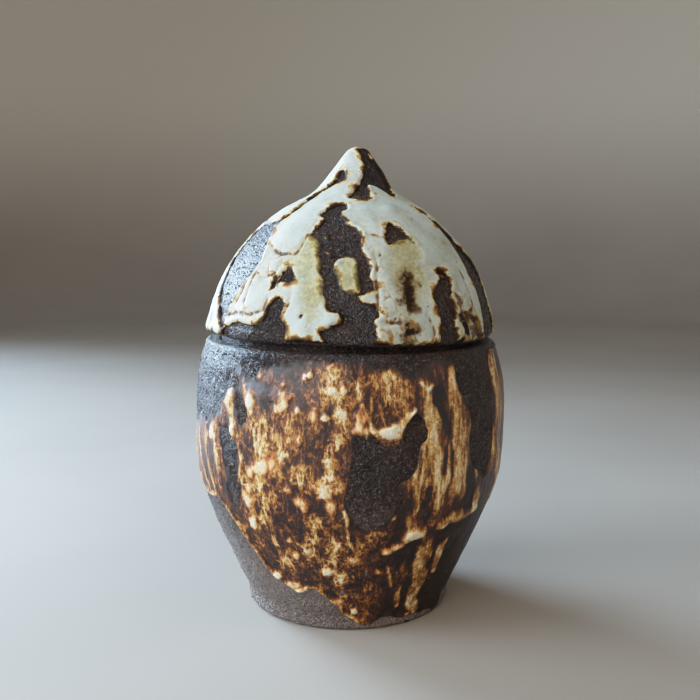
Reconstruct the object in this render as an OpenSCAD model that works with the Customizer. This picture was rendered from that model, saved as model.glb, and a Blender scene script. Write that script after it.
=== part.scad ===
// Lidded stoneware jar: a thrown body with a gallery, a domed lid with a pulled
// point, and the thick glaze that ran over both.
// Millimetres, +Z up. The origin is the centre of the foot on the table, and the
// front of the jar faces -Y.

/* [Body] */
// Height of the rim above the table
body_h = 93.8; // [84:0.2:114]
// Diameter of the foot
foot_d = 72; // [60:0.5:80]
// Height of the straight band at the foot
foot_h = 5; // [3:0.5:8]
// Diameter at the widest part of the belly
belly_d = 108.4; // [103:0.2:120]
// Height of the widest part of the belly
belly_z = 67; // [58:0.5:74]
// Diameter of the rim
rim_d = 101.4; // [98:0.2:105]
// Lean of the wall just above the foot, from upright, in degrees
foot_lean = 25; // [18:1:32]
// Lean of the wall just below the rim, from upright, in degrees
rim_lean = 15; // [10:1:18]
// Thickness of the wall
wall = 5; // [3.5:0.1:7]
// Thickness of the floor inside the foot ring
floor_t = 6.5; // [4:0.1:10]
// Width of the trimmed foot ring
foot_ring_w = 8; // [5:0.5:14]
// Depth of the hollow inside the foot ring
foot_hollow = 1.5; // [0.8:0.1:2.5]
// Width of the bevel on the outer edges of the rim, the foot and the lid
edge_bevel = 1; // [0.4:0.1:1.6]

/* [Gallery and lid fit] */
// Width of the flat top of the rim, with its bevel
rim_land = 5; // [4:0.1:6.5]
// Depth of the gallery below the rim
gallery_depth = 4; // [2.5:0.1:6]
// Width of the ledge that carries the lid
gallery_w = 6; // [5:0.1:8]
// Thickness of the ledge at the mouth
gallery_t = 3; // [2:0.1:5]
// Radial clearance between the lid's flange and the gallery
lid_clearance = 0.6; // [0.3:0.1:1]
// Height of the shadow gap between the rim and the lid's edge
shadow_gap = 2; // [1:0.1:3]

/* [Lid] */
// Diameter of the lid's lower edge
lid_d = 99.6; // [96:0.2:103]
// Height of the clay lid from its lower edge to the tip of its point
lid_h = 63.2; // [58:0.2:72]
// Lean of the dome just above its edge, from upright, in degrees
dome_lean = 8.5; // [5:0.5:14]
// Diameter where the dome turns into the pulled point
point_d = 40; // [34:0.5:46]
// Height of the pulled point above that turn
point_h = 19; // [16:0.5:24]
// Slope of the surface at that turn, above level, in degrees
point_slope = 25; // [20:1:32]
// Half angle of the point below its tip, in degrees
tip_angle = 38; // [32:1:44]
// Radius of the rounded tip
tip_r = 4.3; // [3:0.1:5]
// How far the hand left the tip to the right of the axis
tip_shift = 2.7; // [0:0.1:4]
// Thickness of the dome
lid_wall = 5; // [3.5:0.1:7]
// Thickness of the locating flange under the lid
flange_t = 4; // [3:0.1:5]

/* [Glaze] */
// Thickness of the white glaze on the lid
lid_glaze_t = 1; // [0.6:0.1:1.6]
// Thickness of the brown glaze on the body
body_glaze_t = 0.9; // [0.6:0.1:1.6]
// Thickness of the liner glaze inside the body
liner_t = 0.6; // [0.4:0.1:1]
// Bare clay left between the glaze and the rim or the lid's edge
bare_margin = 1.5; // [1:0.1:3]

/* [Hidden] */
$fn = 96;
curve_steps = 8;
tip_steps = 4;
outline_steps = 4;

clay_colour = [0.24, 0.21, 0.20];
white_glaze = [0.90, 0.89, 0.82];
brown_glaze = [0.48, 0.33, 0.18];
liner_colour = [0.30, 0.20, 0.13];

lid_z = body_h + shadow_gap;
ledge_z = body_h - gallery_depth;
gallery_r = rim_d / 2 - rim_land;
mouth_r = gallery_r - gallery_w;
flange_r = gallery_r - lid_clearance;
floor_z = foot_hollow + floor_t;
// Height from which the lid leans, how far its leaning part is set in there, and how deep
// that part is rooted below
lean_z = lid_z + 0.4 * lid_h;
lean_step = 0.45 * lid_glaze_t;
lean_root = lid_wall;
// Reach of a radial cut, past the widest part
reach = max(belly_d, rim_d, lid_d);

// A point on the cubic curve with the ends a and d and the handles b and c
function bezier(a, b, c, d, t) =
    pow(1 - t, 3) * a + 3 * pow(1 - t, 2) * t * b + 3 * (1 - t) * t * t * c + pow(t, 3) * d;
// That curve as a run of points
function curve(a, b, c, d, first = 0) =
    [for (i = [first : curve_steps]) bezier(a, b, c, d, i / curve_steps)];
// The unit vector at an angle above level
function heading(angle) = [cos(angle), sin(angle)];
// A rising run of points moved out by t along its normals
function moved_out(p, t) =
    [for (i = [0 : len(p) - 1])
        let (d = p[min(i + 1, len(p) - 1)] - p[max(i - 1, 0)])
        p[i] + t / norm(d) * [d.y, -d.x]];
function backwards(p) = [for (i = [len(p) - 1 : -1 : 0]) p[i]];
// The stretch of a rising run of points between two heights
function between(p, low, high) = [for (q = p) if (q.y > low && q.y < high) q];
// The point of a rising run at a height
function point_at(p, z) = [lookup(z, [for (q = p) [q.y, q.x]]), z];
// The stretch of a rising run from one height to another, with both ends cut to it
function stretch(p, low, high) = concat([point_at(p, low)], between(p, low, high), [point_at(p, high)]);

// Outside of the body, from the top of the foot band to the bevel of the rim
foot_top = [foot_d / 2, foot_h];
belly = [belly_d / 2, belly_z];
rim_edge = [rim_d / 2, body_h - edge_bevel];
belly_rise = belly_z - foot_h;
rim_rise = rim_edge.y - belly_z;
body_side = concat(
    curve(foot_top, foot_top + 0.68 * belly_rise * heading(90 - foot_lean),
        belly - [0, 0.32 * belly_rise], belly),
    curve(belly, belly + [0, 0.6 * rim_rise],
        rim_edge - 0.28 * rim_rise * heading(90 + rim_lean), rim_edge, 1));

// Inside of the body, from the centre of the floor to the underside of the ledge
ledge_low = [mouth_r, ledge_z - gallery_t];
inner_wall = between(moved_out(body_side, -wall), floor_z + wall, ledge_low.y - gallery_w / 2);
floor_edge = inner_wall[0];
body_inside = concat(
    [[0, floor_z]],
    curve([foot_d / 4, floor_z], [0.8 * floor_edge.x, floor_z],
        floor_edge - wall / 2 * heading(90 - foot_lean), floor_edge),
    [for (i = [1 : len(inner_wall) - 1]) inner_wall[i]]);

// Outside of the lid, from above the bevel of its edge to the centre of its tip
lid_edge = [lid_d / 2, lid_z + edge_bevel];
turn = [point_d / 2, lid_z + lid_h - point_h];
tip_centre = [0, lid_z + lid_h - tip_r];
tip_start = tip_centre + tip_r * heading(tip_angle);
dome_side = curve(lid_edge, lid_edge + 0.66 * (turn.y - lid_edge.y) * heading(90 + dome_lean),
    turn + 0.3 * turn.x * heading(-point_slope), turn);
lid_side = concat(dome_side,
    curve(turn, turn + 0.5 * point_h * heading(180 - point_slope),
        tip_start + 0.58 * point_h * heading(tip_angle - 90), tip_start, 1),
    [for (i = [1 : tip_steps])
        tip_centre + tip_r * heading(tip_angle + (90 - tip_angle) * i / tip_steps)]);

// Inside of the dome, from above the flange to the centre of its crown
dome_inside = between(moved_out(dome_side, -lid_wall), lid_z + lid_wall, turn.y);
crown_edge = dome_inside[len(dome_inside) - 1];
crown = [0, crown_edge.y + 0.6 * crown_edge.x * tan(point_slope)];
crown_curve = curve(crown_edge, crown_edge + 0.3 * crown_edge.x * heading(180 - point_slope),
    crown + [0.4 * crown_edge.x, 0], crown, 1);

// A solid of revolution, and a skin of thickness t on a run of points
module turned(outline) {
    rotate_extrude() polygon(outline);
}
module skin(side, t) {
    turned(concat(side, backwards(moved_out(side, t))));
}
// The lean that the hand left in the upper part of the lid, about the middle of its edge
module leaning() {
    translate([0, 0, lid_z]) rotate([0, asin(tip_shift / lid_h), 0]) translate([0, 0, -lid_z]) children();
}
// The outside of the lid as a solid, from a base and a rising run of points above it. The
// upper part leans, and is set in by a step so that it stands inside the lower part.
module lid_form(base, side) {
    low = base[len(base) - 1].y;
    top = side[len(side) - 1].y;
    root = lean_z - lean_root;
    upper = moved_out(side, -lean_step);
    turned(concat(base, between(side, low, lean_z), [point_at(side, lean_z), [0, lean_z]]));
    leaning() turned(concat([[0, root], point_at(upper, root)],
        between(upper, root, top - 2 * lean_step), [[0, top - lean_step]]));
}

// Marks in the glaze. Each is a closed outline of [degrees right of the front,
// percent of the height], and the outline runs smoothly through its points.
function smooth_point(a, b, c, d, t) =
    b + t / 2 * (c - a + t * (2 * a - 5 * b + 4 * c - d + t * (3 * (b - c) + d - a)));
function smooth(p) =
    let (n = len(p))
    [for (i = [0 : n - 1], k = [0 : outline_steps - 1])
        smooth_point(p[(i + n - 1) % n], p[i], p[(i + 1) % n], p[(i + 2) % n], k / outline_steps)];
function middle(p) = (max([for (q = p) q.x]) + min([for (q = p) q.x])) / 2;

// A radial cut through a wall along an outline on it
module radial_cut(outline, side, low, high) {
    centre = middle(outline);
    flat = [for (q = smooth(outline))
        let (z = low + (high - low) * q.y / 100)
        [point_at(side, z).x * sin(q.x - centre), z]];
    rotate(centre) rotate([90, 0, 0]) linear_extrude(reach) polygon(flat);
}

// Bare windows in the lid's glaze: at the front the tall middle window, the left
// band, the lower windows and the split beside the tip, then those at the back
lid_windows = [
    [[-7, 69], [3, 57], [6, 46], [6, 32], [9, 15], [8, -3], [-9, -3], [-4, 12], [-11, 20], [-14, 42], [-20, 56]],
    [[-62, 58], [-55, 52], [-50, 44], [-57, 27], [-58, 9], [-66, 10], [-74, 24], [-76, 42]],
    [[-29, 24], [-25, 13], [-24, -3], [-53, -3], [-54, 6], [-44, 10], [-34, 11]],
    [[20, 59], [32, 50], [18, 50]],
    [[41, 32], [44, 26], [42, 12], [45, -3], [35, -3], [37, 15], [34, 23]],
    [[18, 92], [40, 92], [70, 80], [58, 73], [36, 78], [16, 72], [0, 74], [12, 84]],
    [[66, 58], [69, 44], [70, 24], [84, 6], [84, -3], [73, -3], [66, 14], [62, 34]],
    [[108, 55], [120, 47], [122, 26], [112, 8], [102, 21]],
    [[168, 63], [178, 49], [184, 22], [172, 6], [158, 17], [162, 43]],
    [[226, 50], [238, 36], [234, 12], [220, 9], [218, 32]]];

// Bare windows in the body's glaze: the dark one at the front, the patch under the
// rim at the left, the dark band at the right, and those at the back
body_windows = [
    [[-1, 74], [5, 75], [12, 71], [17, 73], [21, 80], [26, 75], [21, 62], [15, 50], [9, 48], [2, 50], [0, 62]],
    [[-80, 93], [-50, 93], [-45, 84], [-48, 74], [-64, 70], [-84, 74]],
    [[42, 104], [64, 104], [61, 82], [57, 66], [51, 56], [46, 63], [44, 78]],
    [[118, 72], [134, 67], [138, 49], [124, 41], [112, 55]],
    [[196, 85], [212, 81], [214, 63], [200, 57], [190, 69]]];

// Bare clay above the foot, which leaves the lower edge of the body's glaze. At the
// front it falls from the left to a tongue that reaches the foot, and on the right
// only low hollows are left between the drips.
bare_foot = [
    [[-92, -10], [-92, 36], [-74, 51], [-54, 45], [-42, 32], [-32, 19], [-20, 15], [-9, 12], [-2, 5], [0, -10]],
    [[4, -10], [5, 6], [14, 11], [24, 8], [37, 13], [50, 8], [62, 10], [70, -10]],
    [[75, -10], [77, 8], [92, 21], [106, 33], [120, 35], [134, 24], [142, 9], [145, -10]],
    [[150, -10], [152, 8], [163, 13], [177, 9], [190, 23], [206, 36], [220, 30], [229, 10], [231, -10]],
    [[236, -10], [238, 9], [247, 20], [257, 37], [268, 40], [272, -10]]];

module jar_body() {
    color(clay_colour)
        turned(concat(
            [[0, foot_hollow], [foot_d / 2 - foot_ring_w, foot_hollow],
                [foot_d / 2 - foot_ring_w, 0], [foot_d / 2 - edge_bevel, 0], [foot_d / 2, edge_bevel]],
            body_side,
            [[rim_d / 2 - edge_bevel, body_h], [gallery_r, body_h], [gallery_r, ledge_z],
                [mouth_r, ledge_z], ledge_low],
            backwards(body_inside)));
}

module body_glaze() {
    color(brown_glaze)
        difference() {
            skin(stretch(body_side, foot_h + edge_bevel, body_h - edge_bevel - bare_margin), body_glaze_t);
            for (outline = concat(body_windows, bare_foot)) radial_cut(outline, body_side, 0, body_h);
        }
}

module liner_glaze() {
    color(liner_colour)
        turned(concat(body_inside, backwards(moved_out(body_inside, -liner_t))));
}

module lid_outside() {
    lid_form([[0, ledge_z], [flange_r, ledge_z], [flange_r, lid_z], [lid_d / 2 - edge_bevel, lid_z], lid_edge],
        lid_side);
}

module lid() {
    flange_inside = flange_r - flange_t;
    color(clay_colour)
        difference() {
            lid_outside();
            turned(concat([[0, ledge_z - flange_t], [flange_inside, ledge_z - flange_t], [flange_inside, lid_z]],
                dome_inside, crown_curve));
        }
}

module lid_glaze() {
    glazed = moved_out(lid_side, lid_glaze_t);
    glaze_z = lid_z + edge_bevel + bare_margin;
    color(white_glaze)
        difference() {
            lid_form([[0, glaze_z], point_at(glazed, glaze_z)], glazed);
            lid_outside();
            for (outline = lid_windows) radial_cut(outline, lid_side, lid_z, lid_z + lid_h);
        }
}

jar_body();
body_glaze();
liner_glaze();
lid();
lid_glaze();
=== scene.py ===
# Looks of a lidded stoneware jar: dark coarse clay, a white glaze that crawled on the lid
# and a brown glaze that ran down the body. Sizes are in millimetres until a mesh is made.

import math

import bmesh
import bpy
import numpy as np
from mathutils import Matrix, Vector


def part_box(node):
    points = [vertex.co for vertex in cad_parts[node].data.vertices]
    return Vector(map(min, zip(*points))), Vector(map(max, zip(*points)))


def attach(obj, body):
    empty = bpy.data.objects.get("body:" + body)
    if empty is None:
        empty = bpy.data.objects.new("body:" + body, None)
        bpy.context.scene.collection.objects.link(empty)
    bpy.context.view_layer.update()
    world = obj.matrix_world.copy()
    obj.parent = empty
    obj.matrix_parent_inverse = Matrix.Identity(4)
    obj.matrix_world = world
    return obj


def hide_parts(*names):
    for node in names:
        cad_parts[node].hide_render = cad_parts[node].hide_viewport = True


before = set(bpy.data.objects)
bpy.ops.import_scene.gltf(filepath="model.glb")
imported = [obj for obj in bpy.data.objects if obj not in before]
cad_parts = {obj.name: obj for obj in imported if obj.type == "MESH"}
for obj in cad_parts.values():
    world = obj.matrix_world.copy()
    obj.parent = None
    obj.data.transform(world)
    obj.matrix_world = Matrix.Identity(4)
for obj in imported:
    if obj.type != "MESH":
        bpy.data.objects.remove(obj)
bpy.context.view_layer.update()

MM = 0.001
SEED = 11


def corners(node):
    """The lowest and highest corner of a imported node, in millimetres."""
    low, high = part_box(node)
    return np.array(low) / MM, np.array(high) / MM


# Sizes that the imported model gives
pot_box = corners("jar_body")
lid_box = corners("lid")
RIM_Z = pot_box[1][2]
BELLY_R = pot_box[1][1]
LEDGE_Z = lid_box[0][2]
LID_R = lid_box[1][1]

# Sizes of the turned forms, as in the part
FOOT_R = 36.0
FOOT_H = 5.0
FOOT_HOLLOW = 1.5
FOOT_RING_W = 8.0
BELLY_Z = 67.0
RIM_R = 50.7
GALLERY_R = 45.7
MOUTH_R = 39.7
LEDGE_T = 3.0
WALL = 5.0
FLOOR_Z = 8.0
LID_Z = RIM_Z + 2.0
LID_H = 63.2
TIP_Z = LID_Z + LID_H
FLANGE_R = 45.1
FLANGE_T = 4.0
POINT_H = 19.0
TURN_R = 20.0
TURN_SLOPE = 25.0
TIP_R = 4.3
TIP_ANGLE = 38.0
EDGE = 1.0
# The lid's lower edge is rounded in by this much over this height
LID_EDGE_IN = 1.3
LID_EDGE_UP = 2.1
# Slopes of the outlines in degrees above level, and the shares of its rise or width over which a
# curve holds its first and its last direction
FOOT_SLOPE = 65.0
RIM_SLOPE = 105.0
DOME_SLOPE = 98.5
BELLY_PULL = (0.68, 0.32)
RIM_PULL = (0.6, 0.28)
DOME_PULL = (0.66, 0.3)
POINT_PULL = (0.5, 0.58)
LID_EDGE_PULL = (0.6, 0.5)
LID_EDGE_LIFT = 0.1
FLOOR_PULL = 0.8
CROWN_PULL = (0.4, 0.3)
CROWN_RISE = 0.6
# How far below the rim the wall inside meets the ledge
LEDGE_DROP = 10.0


# Curves and random fields

def heading(degrees):
    """The unit vector at an angle above level."""
    return np.array([math.cos(math.radians(degrees)), math.sin(math.radians(degrees))])


def bezier(a, b, c, d, count):
    """A cubic curve as count points, without its first one."""
    t = np.linspace(0, 1, count + 1)[1:, None]
    a, b, c, d = (np.asarray(p, float) for p in (a, b, c, d))
    return (1 - t) ** 3 * a + 3 * (1 - t) ** 2 * t * b + 3 * (1 - t) * t * t * c + t ** 3 * d


def spaced(points, step):
    """A run of points set again at an even step along its length."""
    points = np.asarray(points, float)
    along = np.concatenate([[0], np.cumsum(np.hypot(*np.diff(points, axis=0).T))])
    even = np.linspace(0, along[-1], max(2, round(along[-1] / step) + 1))
    return np.column_stack([np.interp(even, along, points[:, k]) for k in (0, 1)])


# A rounded corner takes at most one part in this many of the edges beside it
ARM_PARTS = 2.2


def softened(points, cut):
    """A run of points whose corners are rounded off by small curves."""
    points = np.asarray(points, float)
    made = [points[0]]
    for before, corner, after in zip(points, points[1:], points[2:]):
        back, ahead = np.linalg.norm(corner - before), np.linalg.norm(after - corner)
        arm = min(cut, back / ARM_PARTS, ahead / ARM_PARTS)
        start = corner + arm * (before - corner) / back
        end = corner + arm * (after - corner) / ahead
        made.append(start)
        made.extend(bezier(start, (start + 2 * corner) / 3, (end + 2 * corner) / 3, end, 4))
    made.append(points[-1])
    return np.array(made)


def ease(value, low, high):
    """A smooth step from 0 at low to 1 at high."""
    t = np.clip((value - low) / (high - low), 0, 1)
    return t * t * (3 - 2 * t)


def band(value, rise, fall):
    """1 between two soft limits and 0 beyond them."""
    return ease(value, *rise) * (1 - ease(value, *fall))


def lattice(cell, seed):
    """A fixed random number from -1 to 1 for each whole-number cell."""
    mixed = cell[:, 0] * 73856093 ^ cell[:, 1] * 19349663 ^ cell[:, 2] * 83492791 ^ (seed + 7) * 2654435
    mixed = (mixed ^ (mixed >> 15)) * 2246822519 & 0xFFFFFFFF
    mixed = (mixed ^ (mixed >> 13)) * 3266489917 & 0xFFFFFFFF
    return ((mixed ^ (mixed >> 16)) & 0xFFFF) / 32767.5 - 1


# Each octave of a random field is moved by this many cells and weaker by this factor
OCTAVE_SHIFT = 31.7
OCTAVE_FADE = 1.7


def drift(points, size, seed, octaves=1):
    """A smooth random field over points, whose lumps are about size across."""
    total = np.zeros(len(points))
    for octave in range(octaves):
        at = points * (2 ** octave / size) + OCTAVE_SHIFT * octave
        cell = np.floor(at).astype(np.int64)
        f = at - cell
        f = f * f * f * (f * (f * 6 - 15) + 10)
        value = np.zeros(len(points))
        for k in range(8):
            corner = np.array([k & 1, k >> 1 & 1, k >> 2])
            weight = np.prod(np.where(corner == 1, f, 1 - f), axis=1)
            value += weight * lattice(cell + corner, SEED + 101 * seed + octave)
        total += value / OCTAVE_FADE ** octave
    return total


# Outlines of the turned pieces, as runs of radius and height

foot_top = np.array([FOOT_R, FOOT_H])
belly = np.array([BELLY_R, BELLY_Z])
rim_edge = np.array([RIM_R, RIM_Z - EDGE])
belly_rise = BELLY_Z - FOOT_H
rim_rise = rim_edge[1] - BELLY_Z
pot_side = np.vstack([
    [foot_top],
    bezier(foot_top, foot_top + BELLY_PULL[0] * belly_rise * heading(FOOT_SLOPE),
           belly - [0, BELLY_PULL[1] * belly_rise], belly, 60),
    bezier(belly, belly + [0, RIM_PULL[0] * rim_rise],
           rim_edge - RIM_PULL[1] * rim_rise * heading(RIM_SLOPE), rim_edge, 40)])

lid_edge = np.array([LID_R, LID_Z + EDGE])
point_foot = np.array([TURN_R, TIP_Z - POINT_H])
tip_centre = np.array([0, TIP_Z - TIP_R])
tip_start = tip_centre + TIP_R * heading(TIP_ANGLE)
dome_rise = point_foot[1] - lid_edge[1]
dome_side = np.vstack([
    [lid_edge],
    bezier(lid_edge, lid_edge + DOME_PULL[0] * dome_rise * heading(DOME_SLOPE),
           point_foot + DOME_PULL[1] * TURN_R * heading(-TURN_SLOPE), point_foot, 60)])
dome_side = dome_side[dome_side[:, 1] > LID_Z + LID_EDGE_UP]
lid_foot = np.array([LID_R - LID_EDGE_IN, LID_Z])
lid_side = np.vstack([
    [lid_foot],
    bezier(lid_foot, lid_foot + [LID_EDGE_PULL[0] * LID_EDGE_IN, LID_EDGE_LIFT],
           dome_side[0] - LID_EDGE_PULL[1] * LID_EDGE_UP * heading(DOME_SLOPE), dome_side[0], 6),
    dome_side[1:],
    bezier(point_foot, point_foot + POINT_PULL[0] * POINT_H * heading(180 - TURN_SLOPE),
           tip_start + POINT_PULL[1] * POINT_H * heading(TIP_ANGLE - 90), tip_start, 30),
    [tip_centre + TIP_R * heading(a) for a in np.linspace(TIP_ANGLE, 90, 9)[1:]]])


def moved_in(side, distance):
    """A rising run of points moved towards the axis along its normals."""
    slope = np.gradient(side, axis=0)
    slope /= np.linalg.norm(slope, axis=1)[:, None]
    return side + distance * np.column_stack([-slope[:, 1], slope[:, 0]])


inner_side = moved_in(pot_side, WALL)
inner_side = inner_side[(inner_side[:, 1] > FLOOR_Z + WALL) & (inner_side[:, 1] < RIM_Z - LEDGE_DROP)]
floor_edge = inner_side[0]
pot_inside = np.vstack([
    [[0, FLOOR_Z], [FOOT_R / 2, FLOOR_Z]],
    bezier([FOOT_R / 2, FLOOR_Z], [FLOOR_PULL * floor_edge[0], FLOOR_Z],
           floor_edge - WALL / 2 * heading(FOOT_SLOPE), floor_edge, 20),
    inner_side[1:]])
dome_inside = moved_in(dome_side, WALL)
dome_inside = dome_inside[dome_inside[:, 1] > LID_Z + WALL]
crown_edge = dome_inside[-1]
crown_rise = CROWN_RISE * crown_edge[0] * math.tan(math.radians(TURN_SLOPE))
crown = np.array([0, crown_edge[1] + crown_rise])


# Walls, and how deep their points lie in shapes drawn on them in degrees right of the front and height

# The front reaches this many degrees to either side
FRONT = 96.0
# Depths beyond this are all the same, in millimetres
FAR = 12.0


def angles_round(front_step, back_step):
    """Degrees round the jar, close together over its front and wider apart at its back."""
    back = 360 - 2 * FRONT
    return np.concatenate([
        np.linspace(-FRONT, FRONT, round(2 * FRONT / front_step), endpoint=False),
        np.linspace(FRONT, FRONT + back, round(back / back_step), endpoint=False)])


def smooth_outline(points, steps=5):
    """A closed smooth curve through points."""
    p = np.asarray(points, float)
    before, after, last = np.roll(p, 1, 0), np.roll(p, -1, 0), np.roll(p, -2, 0)
    made = []
    for t in np.arange(steps) / steps:
        made.append(p + t / 2 * (after - before + t * (
            2 * before - 5 * p + 4 * after - last + t * (3 * (p - after) + last - before))))
    return np.stack(made, 1).reshape(-1, 2)


class Wall:
    """The outside of a turned piece, unrolled: radius and length along it by height, and a grid of
    points over it."""

    def __init__(self, side, step, angles):
        side = spaced(side, step)
        self.radius, self.height = side.T
        self.along = np.arange(len(side)) * np.hypot(*(side[1] - side[0]))
        self.angles = angles
        degrees, heights = np.meshgrid(angles, self.height, indexing="ij")
        a = np.radians(degrees)
        places = np.stack([self.radius * np.sin(a), -self.radius * np.cos(a), heights], -1)
        self.degrees = degrees.ravel()
        self.heights = heights.ravel()
        self.lengths = np.interp(self.heights, self.height, self.along)
        self.places = places.reshape(-1, 3)

    def flat(self, degrees, height, middle):
        """Millimetres across from a middle angle, and along the wall."""
        turned = (np.asarray(degrees, float) - middle + 180) % 360 - 180
        across = np.radians(turned) * np.interp(height, self.height, self.radius)
        return across, np.interp(height, self.height, self.along)

    def away_from(self, middle, level):
        """Millimetres across and along from one place to each point of the grid."""
        across, along = self.flat(self.degrees, self.heights, middle)
        return across, along - np.interp(level, self.height, self.along)

    def outline_depth(self, outline):
        """How deep each point lies inside a closed outline, in millimetres; outside it is negative."""
        outline = smooth_outline(outline)
        middle = (outline[:, 0].max() + outline[:, 0].min()) / 2
        ox, oy = self.flat(outline[:, 0], outline[:, 1], middle)
        x, y = self.flat(self.degrees, self.heights, middle)
        near = (np.abs(x) < np.abs(ox).max() + FAR) & (y > oy.min() - FAR) & (y < oy.max() + FAR)
        x, y = x[near], y[near]
        least = np.full(len(x), FAR)
        within = np.zeros(len(x), bool)
        for x0, y0, x1, y1 in zip(ox, oy, np.roll(ox, -1), np.roll(oy, -1)):
            ex, ey = x1 - x0, y1 - y0
            t = np.clip(((x - x0) * ex + (y - y0) * ey) / (ex * ex + ey * ey + 1e-12), 0, 1)
            least = np.minimum(least, np.hypot(x - x0 - t * ex, y - y0 - t * ey))
            crosses = (y0 > y) != (y1 > y)
            within ^= crosses & (x < x0 + ex * (y - y0) / (ey if ey else 1e-12))
        depth = np.full(len(self.degrees), -FAR)
        depth[near] = np.where(within, least, -least)
        return depth

    def stroke_depth(self, knots):
        """How deep each point lies inside a drawn stroke of degrees, height and half width."""
        knots = np.asarray(knots, float)
        middle = knots[:, 0].mean()
        kx, ky = self.flat(knots[:, 0], knots[:, 1], middle)
        x, y = self.flat(self.degrees, self.heights, middle)
        depth = np.full(len(self.degrees), -FAR)
        for k in range(len(knots) - 1):
            ex, ey = kx[k + 1] - kx[k], ky[k + 1] - ky[k]
            t = np.clip(((x - kx[k]) * ex + (y - ky[k]) * ey) / (ex * ex + ey * ey), 0, 1)
            half = knots[k, 2] + t * (knots[k + 1, 2] - knots[k, 2])
            depth = np.maximum(depth, half - np.hypot(x - kx[k] - t * ex, y - ky[k] - t * ey))
        return depth

    def in_outlines(self, outlines):
        """The greatest depth inside any of some outlines."""
        return np.max([self.outline_depth(outline) for outline in outlines], axis=0)

    def in_strokes(self, strokes):
        """The greatest depth inside any of some strokes."""
        return np.max([self.stroke_depth(stroke) for stroke in strokes], axis=0)

    def in_patches(self, patches, ragged):
        """How far each point is inside fuzzy patches of an outline and its softness, from 0 to 1."""
        share = np.zeros(len(self.degrees))
        for outline, soft in patches:
            share = np.maximum(share, ease(self.outline_depth(outline) + ragged, -soft, soft))
        return share

    def nearest(self, places):
        """The grid's point next to each of some places."""
        degrees = np.degrees(np.arctan2(places[:, 0], -places[:, 1]))
        first = self.angles[0]
        column = np.searchsorted(self.angles, (degrees - first) % 360 + first) % len(self.angles)
        row = np.clip(np.searchsorted(self.height, places[:, 2]), 0, len(self.height) - 1)
        return column * len(self.height) + row


# The rolled lip of a glaze's edge: how much thicker it is, and in widths of the edge where it lies
# and how soon the glaze rises
LIP_HEIGHT = 0.30
LIP_PLACE = 1.5
LIP_RISE = 0.6


def swell(depth, edge):
    """Thickness from 0 at an edge up to 1, with a rolled lip, and falling below 0 outside."""
    lip = 1 + LIP_HEIGHT * np.exp(-((depth - LIP_PLACE * edge) / edge) ** 2)
    rise = 1 - np.exp(-np.maximum(depth, 0) / (LIP_RISE * edge))
    return np.where(depth > 0, lip * rise, depth / (LIP_RISE * edge))


# How the hand left the pieces: the lid leans to the right, the foot sits a little to the left,
# and the rim and the lid's edge are not quite level

LID_LEAN = 1.5
TIP_LEAN = 1.2
FOOT_SHIFT = 0.7
RIM_TILT = 0.5
# How far the walls wobble, and how wide a wobble is on the pot and on the lid
WOBBLE = 0.35
POT_WOBBLE_W = 28.0
LID_WOBBLE_W = 24.0
# The wave in the lid's lower edge: its mean, its rise to the left, and its two humps
EDGE_WAVE = (0.2, -0.45, 0.25)
HUMPS_TURNED = 0.5
# The clay's coarse and fine grains: how far they stand out and how wide they are
COARSE_GRAIN = (0.12, 2.4)
FINE_GRAIN = (0.17, 1.2)


def pushed_out(points, amount):
    """Points moved away from the axis by an amount each."""
    r = np.hypot(points[:, 0], points[:, 1])
    grown = 1 + amount / np.maximum(r, 4)
    return points * np.column_stack([grown, grown, np.ones(len(points))])


def handmade_pot(points):
    """The pot's uneven turning and the slight tilt of its rim."""
    z = points[:, 2]
    free = band(z, (4, 14), (RIM_Z - 16, RIM_Z - 6))
    made = pushed_out(points, WOBBLE * drift(points, POT_WOBBLE_W, 1) * free)
    made[:, 0] -= FOOT_SHIFT * (1 - ease(z, 15, 75))
    made[:, 2] -= RIM_TILT * points[:, 0] / RIM_R * ease(z, 50, RIM_Z - 8)
    return made


def handmade_lid(points):
    """The lid's lean, its uneven turning and the wave in its lower edge."""
    z = points[:, 2]
    free = ease(z, LID_Z + 1, LID_Z + 12)
    outer = ease(np.hypot(points[:, 0], points[:, 1]), FLANGE_R + 0.5, LID_R - 1)
    angle = np.arctan2(points[:, 0], -points[:, 1])
    made = pushed_out(points, WOBBLE * drift(points, LID_WOBBLE_W, 2) * free)
    made[:, 0] += LID_LEAN * np.maximum(z - LID_Z, 0) / LID_H + TIP_LEAN * ease(z, TIP_Z - 25, TIP_Z - 1)
    low = 1 - ease(z, LID_Z, LID_Z + 25)
    made[:, 2] -= RIM_TILT * points[:, 0] / RIM_R * low
    mean, tilt, humps = EDGE_WAVE
    wave = mean + tilt * np.sin(angle) + humps * np.cos(2 * angle + HUMPS_TURNED)
    made[:, 2] += wave * outer * low * (z > LID_Z - 0.1)
    return made


def grain_relief(points):
    """How far the grains of the clay stand out."""
    (coarse_t, coarse_w), (fine_t, fine_w) = COARSE_GRAIN, FINE_GRAIN
    return coarse_t * drift(points, coarse_w, 31) + fine_t * drift(points, fine_w, 32)


def grainy(points):
    """Bare clay, roughened by its grains."""
    return pushed_out(points, grain_relief(points))


# Glaze on the lid: bare windows as outlines and strokes of degrees right of the front and height

LID_STEP = 0.58
LID_FRONT_STEP = 0.62
BACK_STEP = 1.4
lid_wall = Wall(lid_side, LID_STEP, angles_round(LID_FRONT_STEP, BACK_STEP))

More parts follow.
